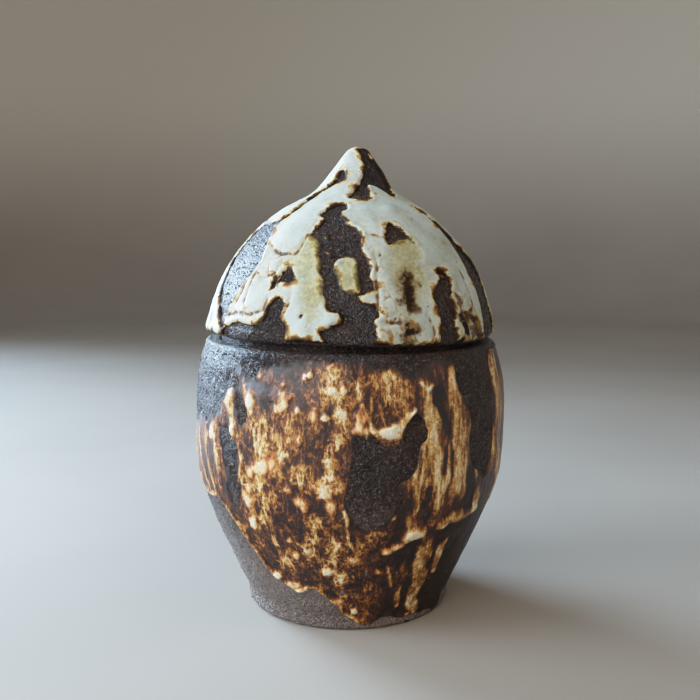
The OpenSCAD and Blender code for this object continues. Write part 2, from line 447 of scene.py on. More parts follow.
LID_WINDOWS = [
    # the tall middle window, from its hook down to the edge
    [(-8, 139), (-14, 138.7), (-19, 137), (-21.5, 135.5), (-18, 134.5), (-19, 132.5), (-22.5, 130),
     (-16, 127), (-15, 124), (-13, 121.5), (-13, 119), (-11, 116), (-11, 113), (-9, 110), (-7.5, 107.5),
     (-4, 106.5), (-2, 104.5), (-2.5, 102.5), (-6.5, 101.5), (-10, 100), (-8, 97), (-7, 92), (8.5, 92),
     (8, 97), (9, 99.5), (8, 103.5), (10, 105.5), (8.5, 107.5), (5.5, 109), (2.5, 111), (5.5, 112.5),
     (8.5, 114), (6.5, 116), (7, 119), (6, 122.5), (2.5, 127), (4.5, 129), (1, 131.5), (-5, 133.5),
     (-9.5, 135.5), (-9.5, 137), (-5, 137.6), (-6.5, 138.4)],
    # the broad band on the left
    [(-58, 132.5), (-74, 133), (-88, 131.5), (-87, 128), (-80, 123), (-76, 119), (-72, 115.5),
     (-71.5, 112.5), (-65.5, 107), (-57, 99), (-55.5, 104), (-54.5, 108), (-53.5, 110.5), (-51.5, 113),
     (-47, 118.5), (-46, 121), (-47.5, 125), (-50.5, 128.5)],
    # the low window on the left, under its lobes
    [(-55, 98.5), (-50.5, 100), (-46.5, 101), (-40, 100.5), (-35, 101.5), (-32.5, 104.5), (-31.5, 107.5),
     (-28.5, 110), (-26, 107), (-26.5, 104), (-24.5, 101), (-24, 97.5), (-26, 92), (-54, 92)],
    # the small one above it
    [(-30.5, 115.5), (-29, 118.5), (-27, 119.5), (-24.5, 116.5), (-26.5, 115.5)],
    # the triangle on the right
    [(20.5, 132.5), (24, 132.5), (28.5, 130), (32.5, 127), (29.5, 128), (24.5, 128), (18.5, 127),
     (18.5, 130)],
    # the low window on the right
    [(40.5, 115.5), (45, 114), (42, 111), (42, 106.5), (42.5, 102), (42, 96.5), (43, 92), (34.5, 92),
     (34.5, 96), (35.5, 102.5), (35, 107), (33.5, 110.5), (36, 113)],
    # the split beside the tip, with its foot
    [(79.5, 159), (53, 156.5), (70, 151.5), (69, 147.5), (56, 142.5), (45, 144.5), (34.5, 146),
     (21, 146.5), (16, 145.5), (16.5, 141.5), (6, 141), (-4, 141.5), (4, 144), (9, 146.5), (17, 150),
     (22.5, 153.5), (17.5, 156.5), (20, 158.5)],
    # one beside the tip at the back
    [(144, 150), (152, 147), (158, 145), (155, 141), (150, 139), (143, 141.5), (138, 143)]]


def turned_about(shape, middle, way, rise=0):
    """A shape of the front set again at the back. A way below nought mirrors the shape, and one
    smaller than one narrows it."""
    return [(middle + way * point[0], point[1] + rise) + tuple(point[2:]) for point in shape]


# The back is not seen: it takes shapes of the front, as which one, the new middle and the way round
LID_BACK = (166, -1)
for which, middle, way in ((0, *LID_BACK), (1, 79, -0.5), (1, 262, 0.5), (4, 176, 1), (3, 122, -1)):
    LID_WINDOWS.append(turned_about(LID_WINDOWS[which], middle, way))

LID_SPLITS = [
    # the nick left of the tip and the crack that runs down from it
    [(-34, 150.5, 0.3), (-28.5, 148, 0.8), (-40, 146, 0.55), (-52.5, 144, 0.35), (-51, 140, 0.4),
     (-49.5, 137.5, 0.45), (-50, 135.5, 0.45), (-54.5, 133.5, 0.7), (-61, 132.5, 1.0)],
    # the dark streak down the right contour
    [(61.5, 137.5, 0.3), (63.5, 133, 0.5), (65, 128.5, 1.4), (67, 125, 3.0), (69, 120.5, 4.8),
     (71, 116, 6.2), (72, 110.5, 7.2), (73, 104, 8.0), (73, 97, 9.0), (73, 92, 9.2)],
    [(52, 105, 0.2), (56.5, 101.5, 0.5), (58.5, 97, 0.7), (59, 94, 0.8)],
    [(39.5, 118, 0.25), (43, 117, 0.35), (43.5, 115.5, 0.35)],
    [(-29, 118, 0.4), (-32, 116, 0.3), (-32.5, 113.5, 0.25)],
    # cracks at the back
    [(128, 118, 0.4), (136, 108, 0.6), (132, 98, 0.8)],
    [(254, 138, 0.4), (262, 128, 0.8), (258, 116, 0.5), (268, 104, 1.1)]]

LID_ISLANDS = [
    # the cream island in the middle window and the scraps beside it
    [(-7.5, 121.5), (-4, 123), (-0.5, 123), (3, 121.5), (2.5, 118.5), (4, 113.5), (2.5, 112), (-0.5, 112),
     (-4, 113), (-6, 116), (-8, 118.5)],
    [(-14, 124.5), (-11, 124.5), (-7.5, 123), (-9.5, 122.5), (-12.5, 123.5)],
    [(-14.5, 128.5), (-14, 129.5), (-12, 130), (-12.5, 128.5)],
    [(3, 111), (5.5, 112), (8, 110), (6.5, 108.5), (4, 109.5)]]
LID_ISLANDS += [turned_about(LID_ISLANDS[which], *LID_BACK) for which in (0, 3)]

# Fuzzy stains: outline and how soft its edge is
LID_OLIVE = [
    ([(-23.5, 129), (-16.5, 126.5), (-15.5, 121.5), (-12, 115.5), (-11.5, 109), (-14, 103), (-18, 106),
      (-19.5, 115), (-25, 121.5)], 3.0),
    ([(19, 125.5), (31.5, 127.5), (33, 121), (32.5, 115), (26.5, 107), (22, 106), (18, 114),
      (16.5, 120)], 3.0),
    ([(-5, 121.5), (2, 120.5), (2, 114), (-4, 114.5)], 2.0),
    ([(150, 118), (158, 110), (150, 100), (142, 108)], 4.0),
    ([(206, 130), (216, 120), (208, 108), (200, 118)], 4.0)]
LID_STAINS = [
    ([(23.5, 119.5), (25.5, 114.5), (25.5, 109.5), (23.5, 106), (19.5, 107.5), (18.5, 111.5),
      (19.5, 116)], 4.6),
    ([(19.5, 104), (24, 103), (24.5, 99), (21, 96), (18, 100)], 2.8),
    ([(43.5, 99), (48, 97.5), (47, 94), (43, 94)], 1.6),
    ([(45, 108.5), (47.5, 107), (51, 99), (49, 97.5), (46, 103)], 1.5),
    ([(53, 105), (56, 104.5), (59.5, 98), (56.5, 97), (53.5, 101)], 1.6),
    ([(88, 108), (98, 106), (96, 97), (86, 97)], 3.0),
    ([(196, 104), (206, 103), (206, 97), (196, 97)], 2.6)]

# Pits that a bubble left: degrees and height
LID_PITS = [(-18, 104.5), (14.5, 103.5), (13.5, 124), (-38, 126.5), (47, 121)]
PIT_HALF = 0.4
PIT_SOFT = 0.7
for degrees, level in LID_PITS:
    left, right = degrees - PIT_HALF, degrees + PIT_HALF
    diamond = [(left, level), (degrees, level + PIT_HALF), (right, level), (degrees, level - PIT_HALF)]
    LID_STAINS.append((diamond, PIT_SOFT))

# Thin amber seams where two folds of glaze met: degrees, height and half width
LID_SEAMS = [
    [(-43.5, 126, 0.25), (-36.5, 123.5, 0.35), (-26.5, 123.5, 0.35), (-25, 125.5, 0.35),
     (-24.5, 129, 0.35), (-22, 134, 0.25)],
    [(-45.5, 118.5, 0.25), (-39.5, 116, 0.35), (-33.5, 117.5, 0.35), (-32, 121, 0.25)],
    [(-55.5, 100, 0.3), (-55, 103, 0.4), (-48.5, 104, 0.4), (-40, 104, 0.4), (-34.5, 106, 0.4),
     (-33.5, 109.5, 0.3)],
    [(7.5, 129.5, 0.25), (12, 129, 0.35), (18, 128, 0.25)],
    [(10, 124, 0.25), (10.5, 119, 0.3), (9.5, 115.5, 0.3), (10, 109.5, 0.35), (10, 106, 0.35),
     (13, 103, 0.35), (20, 103.5, 0.3)],
    [(-24, 114.5, 0.25), (-23.5, 109, 0.3), (-25, 105.5, 0.25)],
    [(29, 106, 0.25), (31.5, 100, 0.35), (29.5, 96, 0.3)],
    [(176, 142, 0.3), (190, 138, 0.35), (192, 128, 0.35)],
    [(236, 136, 0.3), (244, 126, 0.35), (240, 114, 0.35), (248, 106, 0.3)],
    [(83.5, 129.5, 0.3), (92, 120, 0.35), (90, 112, 0.3)],
    # brown runs down the left contour and beside the band there
    [(-84, 122, 0.5), (-79, 114, 1.2), (-75, 107, 1.1), (-69, 99, 0.8)],
    [(-90, 116, 0.8), (-85, 108, 1.4), (-79, 100, 1.0)],
    [(-68, 120.5, 0.3), (-67, 115, 0.5), (-67.5, 108.5, 0.6), (-65.5, 103, 0.4)],
    [(-73.5, 109.5, 0.6), (-72, 102.5, 1.1), (-72.5, 99, 0.8)],
    [(-47.5, 121, 0.2), (-47.5, 115, 0.4), (-49.5, 110.5, 0.4), (-50.5, 108, 0.3)],
    [(-44.5, 117.5, 0.2), (-45, 112.5, 0.35), (-45.5, 108.5, 0.3)],
    # brown runs between the low window on the right and the dark streak
    [(44.5, 112.5, 0.3), (47.5, 108, 0.7), (50.5, 103.5, 0.8), (52, 99, 0.9), (53, 95, 0.7)],
    [(48.5, 106, 0.3), (52, 102.5, 0.6), (54.5, 99.5, 0.7), (56, 95, 0.6)],
    [(55, 118, 0.3), (55.5, 113.5, 0.6), (56, 109, 0.5), (57.5, 103, 0.4)]]

# Where the glaze drew together into lumps with cracks between them: outline and softness
LID_CRACKED = [
    ([(7, 126), (13, 124), (16, 116), (17, 108), (24, 104), (24, 97), (14, 96), (10, 103),
      (9, 114)], 2.0),
    ([(-52, 108), (-44, 112), (-36, 110), (-34, 103), (-46, 101), (-56, 100)], 2.0),
    ([(-46, 124), (-34, 126), (-26, 124), (-30, 116), (-42, 114)], 2.5),
    ([(45, 112), (58, 108), (62, 97), (47, 97)], 2.0),
    ([(-14, 105), (-8, 106), (-5, 101), (-12, 98), (-18, 101)], 1.5),
    ([(128, 130), (150, 126), (146, 104), (126, 102)], 4.0),
    ([(206, 136), (222, 130), (214, 106), (196, 110)], 4.0)]

# Lumps where the glaze stands thick: degrees, height and half width
LID_LUMPS = [
    (13, 114.5, 3.0), (15, 108.5, 3.2), (18.5, 104.5, 2.4), (11.5, 118.5, 2.6), (-7, 103.5, 2.0),
    (-1.5, 117.5, 3.0), (-34.5, 120, 3.6), (-38.5, 129, 3.6), (-44.5, 114.5, 3.4), (-43, 106, 2.6),
    (28, 99.5, 3.0), (12.5, 100, 2.6), (-19, 111, 3.4), (-17, 100, 2.6), (36, 122, 3.4), (48, 118, 3.4),
    (50, 110, 2.8), (8, 136, 3.0), (30, 138, 3.0), (-35, 140, 3.0), (54, 126, 3.0), (25, 103, 2.0)]


# Thickness of the lid's glaze in millimetres, what marks on it add, and the least that is left
LID_T = 0.78
LUMP_T = 0.35
OLIVE_T = -0.25
STAIN_T = -0.3
SEAM_T = -0.34
LEAST_T = 0.10
# Where the glaze ends above the lid's lower edge, how wide its rolled edge is and how round a lump is
LID_EDGE_BARE = 1.1
LID_ROLL = 0.8
LUMP_POWER = 2.6


def lid_lumps():
    """How far each point of the lid is up one of its lumps, from 0 to 1."""
    lumps = np.zeros(len(lid_wall.degrees))
    for middle, level, half in LID_LUMPS:
        away = np.hypot(*lid_wall.away_from(middle, level))
        lumps = np.maximum(lumps, np.exp(-(away / half) ** LUMP_POWER))
    return lumps


def lid_glaze_fields():
    """Height of the lid's glaze above the clay, and the masks that colour it."""
    wall, places = lid_wall, lid_wall.places
    ragged = 0.34 * drift(places, 5, 3, 2) + 0.22 * drift(places, 1.6, 4)
    bare = np.maximum(wall.in_outlines(LID_WINDOWS), wall.in_strokes(LID_SPLITS))
    edge_line = wall.lengths - LID_EDGE_BARE + 0.5 * drift(places, 7, 10)
    depth = np.minimum(np.maximum(-bare, wall.in_outlines(LID_ISLANDS)), edge_line) + ragged
    seams = wall.in_strokes(LID_SEAMS) + 0.25 * drift(places, 3, 5)
    olive = wall.in_patches(LID_OLIVE, 2.2 * drift(places, 5, 6, 2))
    stain = wall.in_patches(LID_STAINS, 1.6 * drift(places, 2.6, 7, 3))
    cracked = wall.in_patches(LID_CRACKED, 2.0 * drift(places, 5, 11, 2))
    thick = LID_T + 0.18 * drift(places, 11, 8, 2) + LUMP_T * lid_lumps()
    thick += OLIVE_T * olive + STAIN_T * stain
    raised = thick * swell(depth, LID_ROLL) + SEAM_T * ease(seams, -0.8, 0.3)
    pebbled = 0.07 * drift(places, 3.4, 9) + 0.03 * drift(places, 1.5, 12)
    raised = np.maximum(raised + pebbled * ease(depth, 0, 1), np.where(depth > 0.6, LEAST_T, -1))
    return raised, {"edge": np.clip(depth, 0, 9), "seam": ease(seams, -0.45, 0.25), "olive": olive,
                    "stain": stain, "cracked": cracked}


# Glaze on the body

POT_STEP = 0.60
POT_FRONT_STEP = 0.58
FOOT_GLAZE_Z = 0.6
pot_wall = Wall(np.vstack([[(FOOT_R, FOOT_GLAZE_Z)], pot_side]), POT_STEP,
                angles_round(POT_FRONT_STEP, BACK_STEP))

# Crisp bare windows
POT_WINDOWS = [
    # the dark window at the front
    [(7.5, 69.3), (10.5, 67), (14, 66.5), (16.5, 67.5), (17.5, 69.5), (19.5, 73.5), (22, 75.5),
     (24.5, 74), (25.5, 71.5), (26, 68), (24, 66), (23, 62), (22, 58.5), (19, 55.5), (15, 53), (11.5, 52),
     (8.5, 53), (7, 56), (6, 60), (6, 64), (6.5, 67)],
    # the dark band on the right
    [(39, 94.5), (64.5, 94), (62, 90), (60.5, 84), (59, 75), (60, 63), (59, 56), (55.5, 51.5), (51, 53),
     (46.5, 57), (44.5, 64), (45, 70), (44, 75), (42.5, 79), (39.5, 82.5), (39.5, 88)],
    # the foot, left to right
    [(-106, -4), (-106, 50), (-92, 52), (-84, 52), (-78.5, 50), (-72, 46), (-67, 43), (-61, 42.5),
     (-55.5, 43.5), (-53, 42), (-48, 37), (-44.5, 32), (-43, 29.5), (-39.5, 23.5), (-35.5, 19),
     (-28, 15.5), (-24.5, 14), (-21, 14.5), (-16, 16.5), (-13, 15), (-11, 13), (-5, 9), (-4, 7.5),
     (4.5, 3), (8.5, 1.5), (9, -4)],
    [(11, -4), (13.5, 2.5), (20, 4), (29, 3), (34, 3), (41.5, 2.5), (54.5, 1), (60, -4)],
    [(62, -4), (64, 4), (76, 9), (92, 20), (106, 31), (120, 34), (134, 23), (142, 9), (145, -4)],
    [(149, -4), (152, 8), (163, 12), (177, 8), (190, 22), (206, 34), (220, 29), (229, 10), (231, -4)],
    [(236, -4), (238, 9), (247, 19), (255, 38), (261, 50), (272, 51), (272, -4)]]
POT_BACK = (216, -1)
POT_WINDOWS.append(turned_about(POT_WINDOWS[0], *POT_BACK))
POT_WINDOWS.append(turned_about(POT_WINDOWS[0], 110, 1, -11))

# Places where the glaze thins out to a film: outline and softness
POT_THIN = [
    ([(-100, 97), (-41.5, 97), (-42.5, 91), (-44, 87), (-42, 84.5), (-41, 82), (-45, 81.5), (-49, 78),
      (-52, 73.5), (-57, 70.5), (-66, 69), (-80, 66), (-100, 66)], 2.0),
    ([(-41, 81), (-37.5, 78.5), (-35.5, 75), (-36, 71.5), (-39.5, 68), (-41, 72), (-41.5, 77)], 0.9),
    ([(-51, 69), (-47, 68.5), (-43.5, 65.5), (-40.5, 63), (-41.5, 56), (-41, 49), (-43, 43.5),
      (-46, 44.5), (-47, 49), (-46, 53), (-48, 60)], 1.0),
    ([(1.5, 69.5), (7, 69), (12, 66), (14, 60), (14, 55), (17, 52), (15, 43), (9, 40), (3, 41), (-1, 46),
      (-1.5, 54), (0, 62)], 1.6),
    ([(6, 97), (40, 97), (38, 91), (33, 92), (28.5, 92), (24, 89.5), (20, 89), (14.5, 90),
      (8.5, 89.5)], 4.5),
    ([(-42, 97), (5, 97), (3, 93), (-3, 93), (-11, 92.5), (-19, 91.5), (-28, 89), (-35, 86), (-40, 85),
      (-41, 88)], 5.0),
    ([(100, 96), (150, 96), (146, 84), (128, 76), (106, 82)], 4.0),
    ([(222, 60), (236, 56), (238, 36), (226, 32), (218, 44)], 3.0)]

# Thick pale streaks that ran down: degrees, height and half width
POT_STREAKS = [
    # left of the front
    [(-39, 86, 0.7), (-38.5, 83.5, 0.7), (-37.5, 81, 0.8), (-35, 78, 1.4), (-34, 75, 0.6)],
    [(-45, 79.5, 1.9), (-45.5, 76, 1.5), (-43, 71, 1.6), (-42.5, 67, 1.5)],
    [(-62, 69, 0.5), (-60, 64, 0.9), (-61, 58, 1.0), (-58, 51, 1.0), (-56, 45.5, 0.8)],
    [(-70, 64, 0.6), (-68, 57, 1.0), (-65, 50, 1.1), (-62, 46, 0.9)],
    [(-54, 66, 0.5), (-53, 60, 0.9), (-51.5, 55, 0.9), (-52, 47, 0.7)],
    [(-78, 62, 0.8), (-77, 56, 1.0)],
    # right of the front
    [(24.5, 87.5, 0.8), (25.5, 81, 1.7), (26, 78, 2.0), (28, 74.5, 2.8), (28.5, 70, 2.6), (29, 65, 2.6),
     (30, 61.5, 2.1), (30.5, 58, 2.2), (31, 54, 1.5)],
    [(25.5, 68.5, 0.7), (24.5, 64.5, 1.2), (25, 61, 1.7), (24, 57, 2.0), (23, 54, 1.7), (23, 50.5, 1.7),
     (23, 46.5, 1.5), (22, 41.5, 1.7), (23.5, 38, 2.4)],
    [(26.5, 54, 1.3), (26, 51, 1.1), (25.5, 49, 0.9)],
    [(33.5, 67, 1.3), (34.5, 63, 1.3), (35, 60.5, 1.2), (34.5, 57, 1.6), (33.5, 53.5, 1.7),
     (32.5, 50.5, 1.7), (32, 47.5, 1.6), (32.5, 42.5, 1.6), (31, 39.5, 2.0)],
    [(37.5, 88, 0.9), (36.5, 82.5, 1.8), (37.5, 79, 2.7), (39, 76.5, 2.5), (38.5, 69, 2.7),
     (39, 62.5, 2.4), (41, 59, 2.0), (40, 56.5, 2.5), (40.5, 51.5, 3.0), (42.5, 48.5, 2.2)],
    [(67.5, 91.5, 2.2), (64, 83, 3.0), (64.5, 74, 3.6), (64, 67, 3.6), (63, 59.5, 2.8), (69, 53, 4.4),
     (74, 45, 4.2), (73, 41.5, 3.8)],
    [(48.5, 54, 1.1), (49, 49, 1.8), (53, 44, 2.2), (52, 41, 1.6)],
    [(29, 37, 2.2), (31.5, 30, 2.8), (31.5, 25, 2.8), (33.5, 19, 3.0), (33, 14, 2.6), (33.5, 9.5, 2.2),
     (37, 4.5, 1.6)],
    [(40, 30.5, 1.6), (39.5, 24.5, 1.6), (40.5, 20, 1.2)],
    [(24.5, 15, 0.7), (24.5, 11.5, 0.9), (24.5, 8.5, 0.8)]]
BACK_STREAKS = [turned_about(streak, *POT_BACK) for streak in POT_STREAKS[6:]]
BACK_STREAKS += [turned_about(streak, 290, 1) for streak in POT_STREAKS[2:5]]

# Brown ochre bands full of fine threads: degrees, height and half width
POT_OCHRE = [
    [(-5.5, 89.5, 1.9), (-6, 87, 1.8), (-8, 84, 1.2), (-8, 80.5, 1.1)],
    [(-4, 82, 0.8), (-3, 79, 2.3), (-2.5, 74.5, 2.3), (-3.5, 70, 1.3), (-4, 66.5, 1.1)],
    [(-6.5, 67, 1.3), (-7.5, 63, 1.3), (-7, 59.5, 1.5), (-7, 57, 1.7)],
    [(-15, 58.5, 1.6), (-15.5, 55, 1.4), (-15, 52.5, 1.3)],
    [(-22.5, 65.5, 1.3), (-22, 62, 1.3)],
    [(-18.5, 58.5, 1.1), (-18, 55, 1.2)],
    [(-26, 29.5, 1.7), (-25.5, 26, 2.0)],
    [(-28.5, 35, 1.5), (-28, 32.5, 1.5)],
    [(-5.5, 35.5, 1.4), (-7, 28, 1.9), (-8.5, 24, 2.1)],
    [(-3.5, 24, 1.4), (-4.5, 18.5, 2.1), (-3, 14, 1.2), (2, 8, 1.0)],
    [(14.5, 86.5, 2.6), (14.5, 82, 3.3), (16, 77.5, 1.8)],
    [(18.5, 85.5, 1.8), (18.5, 80.5, 1.8), (17.5, 76.5, 1.4)],
    [(3, 90.5, 0.4), (3, 87, 0.5), (2.5, 85, 0.8), (3.5, 82, 0.6)],
    [(42.5, 75, 1.0), (42.5, 70.5, 1.5), (43, 65, 1.4), (43, 60.5, 1.2), (42.5, 57, 0.9)],
    [(-29, 74, 1.6), (-27, 69, 2.0), (-30, 64, 1.6)],
    [(-33, 53, 1.6), (-30, 46, 2.0), (-31, 40, 1.6)],
    [(-12, 43, 1.8), (-13, 37, 2.0), (-15, 30, 1.6)]]

# Thin raised threads of cream: degrees, height and half width
POT_THREADS = [
    [(4, 80, 0.3), (4.5, 77.5, 0.4), (6.5, 74, 0.4), (7.5, 71, 0.4)],
    [(-34, 75, 0.3), (-32.5, 72.5, 0.4), (-30.5, 69.5, 0.4), (-31, 67, 0.3)],
    [(-40, 64.5, 0.3), (-38.5, 59, 0.4), (-39.5, 55.5, 0.4), (-38.5, 52, 0.4), (-35, 51, 0.3)],
    [(-1.5, 46, 0.3), (-0.5, 43, 0.4), (0, 36, 0.4), (2, 32.5, 0.3)],
    [(21.5, 77.5, 0.3), (19, 74, 0.3)],
    [(24, 85, 0.3), (26.5, 83, 0.4), (29, 84.5, 0.4), (30.5, 83.5, 0.3)],
    [(16, 25, 0.3), (18, 21, 0.4), (19.5, 17, 0.3)],
    [(-18.5, 34, 0.3), (-16, 32, 0.4), (-15.5, 30, 0.3)],
    [(-33, 70, 0.3), (-32.5, 65.5, 0.4), (-32, 63, 0.3)]]

# Dark gaps between the streaks, and dark bands under the rolls that are partly painted shadow: degrees,
# height and half width
POT_GAPS_AND_ROLL_SHADE = [
    [(30.3, 83.5, 0.3), (30, 81, 1.3), (30, 79, 1.4), (30.6, 76.5, 0.6), (31, 74.5, 0.2)],
    [(31.5, 77, 0.3), (32.6, 74.5, 1.2), (33.5, 71.5, 1.3), (34.2, 69, 0.7), (34, 66, 0.3)],
    [(33, 64.5, 0.7), (33, 60, 0.6), (33, 56.5, 0.7)],
    [(36, 62.5, 0.5), (36, 58.5, 0.5), (36.5, 54.5, 0.5)],
    [(27.5, 51.5, 1.2), (27.5, 48, 1.0), (26.5, 46.5, 1.0)],
    [(45, 55.5, 1.5), (46, 51, 2.0), (47, 42.5, 2.1)],
    # these two lie just under rolls: thinner glaze and painted shadow
    [(14, 28.5, 0.8), (19, 29.5, 1.0), (22, 32, 1.0), (27.5, 33, 0.9)],
    [(36, 35.5, 0.9), (44, 36.5, 1.1), (52, 37, 0.9)]]

# Rolls of glaze that stopped on their way down: degrees, height and half width
POT_ROLLS = [
    [(8.5, 70.5, 0.9), (11, 70.5, 1.6), (14.5, 71, 2.2), (17, 73, 1.4), (19, 75.5, 0.8), (21.5, 77, 0.7)],
    [(1, 71, 0.6), (5, 71.5, 0.9), (8.5, 70.8, 0.9)],
    [(15, 31, 1.2), (18.5, 33, 1.4), (21, 33, 0.8)],
    [(21.5, 35, 1.6), (24, 36.5, 2.2), (27.5, 36.5, 1.4)],
    [(35.5, 38.5, 1.6), (38.5, 39.5, 2.0), (42, 40, 2.4), (46, 40, 2.3), (48.5, 40.5, 1.9),
     (53, 41, 1.4)]]
POT_ROLLS += [turned_about(POT_ROLLS[which], *POT_BACK) for which in (0, 1, 3, 4)]

# Raised spots: degrees, height, half width, half height, and how orange they are
POT_SPOTS = [
    (-32, 87.5, 1.5, 2.1, 0.3), (-23, 79, 3.6, 4.6, 0.35), (-35, 78.5, 1.7, 3.2, 0.2),
    (-22, 84.5, 1.1, 1.2, 0.5), (-17, 77, 1.0, 1.3, 0.2), (-43, 68.5, 1.7, 2.7, 0.2),
    (-56, 65.5, 2.4, 2.6, 0.1), (-13.5, 87.5, 0.9, 1.2, 0.2), (-15, 86.5, 0.7, 1.7, 0.2),
    (-5.5, 83.5, 1.6, 1.4, 0.3), (-8, 75.5, 1.5, 1.7, 0.3), (-11.5, 76, 1.2, 2.5, 0.9),
    (-2, 83.5, 0.9, 1.6, 0.8), (3.5, 74, 2.1, 3.4, 1.0), (12.5, 70.8, 4.2, 2.6, 0.0),
    (-28.5, 59.5, 2.1, 3.0, 0.7), (-31, 57.5, 3.0, 2.6, 0.8), (-26, 59.5, 2.0, 3.0, 0.9),
    (-34.5, 56, 1.5, 1.6, 0.9), (-36.5, 46.5, 2.3, 4.7, 0.55), (-20.5, 52, 1.4, 1.0, 0.6),
    (-17, 48.5, 1.8, 2.1, 0.8), (-16.5, 68, 1.1, 2.1, 0.5), (-36.5, 39, 2.8, 3.3, 0.15),
    (-7.5, 53.5, 5.0, 4.0, 0.15), (-6, 47.5, 1.5, 2.6, 0.9), (-15.5, 48, 2.0, 2.8, 0.7),
    (15, 43.5, 1.7, 2.0, 0.2), (-22, 34.5, 1.1, 1.3, 0.8), (-32.5, 20, 2.0, 1.9, 0.2),
    (-24.5, 17, 2.5, 1.8, 0.3), (-22, 15, 2.2, 0.9, 0.4), (-3, 34.5, 0.9, 1.7, 0.5),
    (-8.5, 24, 2.6, 2.0, 0.3), (-4.5, 12, 1.9, 1.5, 0.7), (-20, 29, 1.3, 1.7, 0.8),
    (2, 28.5, 2.0, 2.0, 0.4), (12.5, 23.5, 2.1, 1.4, 0.5), (14.5, 31.5, 1.5, 1.4, 0.8),
    (18.5, 33, 1.8, 1.5, 0.5), (24, 36.5, 3.5, 2.3, 0.25), (36, 37.5, 2.1, 1.8, 0.3),
    (3, 7.5, 1.4, 1.6, 0.3), (32.5, 3.5, 1.3, 0.6, 0.4)]


BACK_SPOTS = 34


def more_spots(count):
    """Further spots on the back, at places from a fixed seed."""
    pick = np.random.default_rng(SEED)
    return [(pick.uniform(100, 260), pick.uniform(20, 86), pick.uniform(1.2, 3.0), pick.uniform(1.4, 3.0),
             pick.uniform(0, 1)) for _ in range(count)]


def pot_spots():
    """How far each point is up a raised spot, how far inside its core, and how orange it is there."""
    uneven = 0.34 * drift(pot_wall.places, 2.2, 24, 2)
    up = np.zeros(len(uneven))
    core = np.zeros(len(uneven))
    orange = np.zeros(len(uneven))
    for middle, level, half_w, half_h, warmth in POT_SPOTS + more_spots(BACK_SPOTS):
        across, along = pot_wall.away_from(middle, level)
        r = np.hypot(across / half_w, along / half_h) + uneven
        spot = 1 - ease(r, 0.40, 1.35)
        orange = np.where(spot > up, warmth, orange)
        up = np.maximum(up, spot)
        core = np.maximum(core, 1 - ease(r, 0.35, 0.85))
    return up, core, orange * ease(up, 0.02, 0.4)


def pot_marks(places, hanging):
    """Masks from 0 to 1 of the marks drawn on the body."""
    def run(strokes, ragged, low, high):
        return ease(pot_wall.in_strokes(strokes) + ragged, low, high)

    spots, core, orange = pot_spots()
    return {
        "thin": pot_wall.in_patches(POT_THIN, 1.2 * drift(hanging, 2.4, 15, 2)),
        "streaks": run(POT_STREAKS + BACK_STREAKS, 0.7 * drift(hanging, 1.8, 16, 2), -0.9, 0.9),
        "ochre": run(POT_OCHRE, 1.0 * drift(places, 2.4, 21, 2), -1.5, 1.3),
        "threads": run(POT_THREADS, 0.2 * drift(places, 2, 22), -0.5, 0.2),
        "gaps": run(POT_GAPS_AND_ROLL_SHADE, 0.4 * drift(hanging, 1.6, 23), -0.8, 0.6),
        "rolls": run(POT_ROLLS, 0.4 * drift(places, 2.4, 17), -0.8, 0.8),
        "spots": spots, "core": core, "orange": orange}


def pot_regions(places, depth):
    """Masks from 0 to 1 of the body's broad regions, by degrees, height and depth from the edge."""
    degrees, heights = pot_wall.degrees, pot_wall.heights
    streaky = band(degrees, (12, 24), (90, 112)) + band(degrees, (165, 185), (225, 245))
    streaky = np.clip(streaky + 0.7 * (1 - ease(degrees, -58, -46)), 0, 1)
    return {
        "streaky": streaky,
        "streaky_right": streaky * ease(degrees, 0, 20),
        "right_run": band(degrees, (19, 24), (42, 47)) * ease(heights, 34, 40),
        "front_window": 1 - ease(np.hypot((degrees - 12) / 16, (heights - 58) / 16), 0.8, 1.2),
        "low_dark": band(degrees, (6, 15), (80, 95)) * (1 - ease(heights, 28, 35)),
        "rim_dark": ease(heights + 1.6 * drift(places, 5, 25, 2), RIM_Z - 5.5, RIM_Z - 2.5),
        "low_half": 1 - ease(heights, 30, 60),
        "low_edge": np.exp(-(depth - 1) ** 2) * (1 - ease(heights, 46, 54)) * (1 - ease(degrees, 4, 12))}


# How pale the body's glaze is without marks, from 0 to 1, and what each mark and region adds
PALE = 0.25
PALE_BY = {
    "streaky_right": -0.02, "right_run": 0.10, "streaks": 0.30, "low_streaks": 0.20, "ochre": 0.19,
    "spots": 0.26, "core": 0.36, "threads": 0.35, "rolls": 0.34, "low_half": -0.07, "low_edge": 0.32,
    "gaps": -0.45, "rim_dark": -0.12, "low_dark": -0.09, "front_window": -0.08}
# Thickness of the body's glaze in millimetres, and what paleness and the marks add
POT_T = 0.20
POT_T_BY = {
    "amount": 0.34, "streaks": 0.22, "spots": 0.26, "rolls": 0.60, "threads": 0.25, "low_edge": 0.30}
FILM_T = 0.04
# Where the glaze ends beside the rim and the foot, how wide its rolled edge is, and how deep a film sinks
POT_EDGE_BARE = 0.6
POT_ROLL = 0.7
FILM_SUNK = 0.34


def weighted(masks, weights):
    """The sum of masks, each times its weight."""
    return sum(weight * masks[name] for name, weight in weights.items())


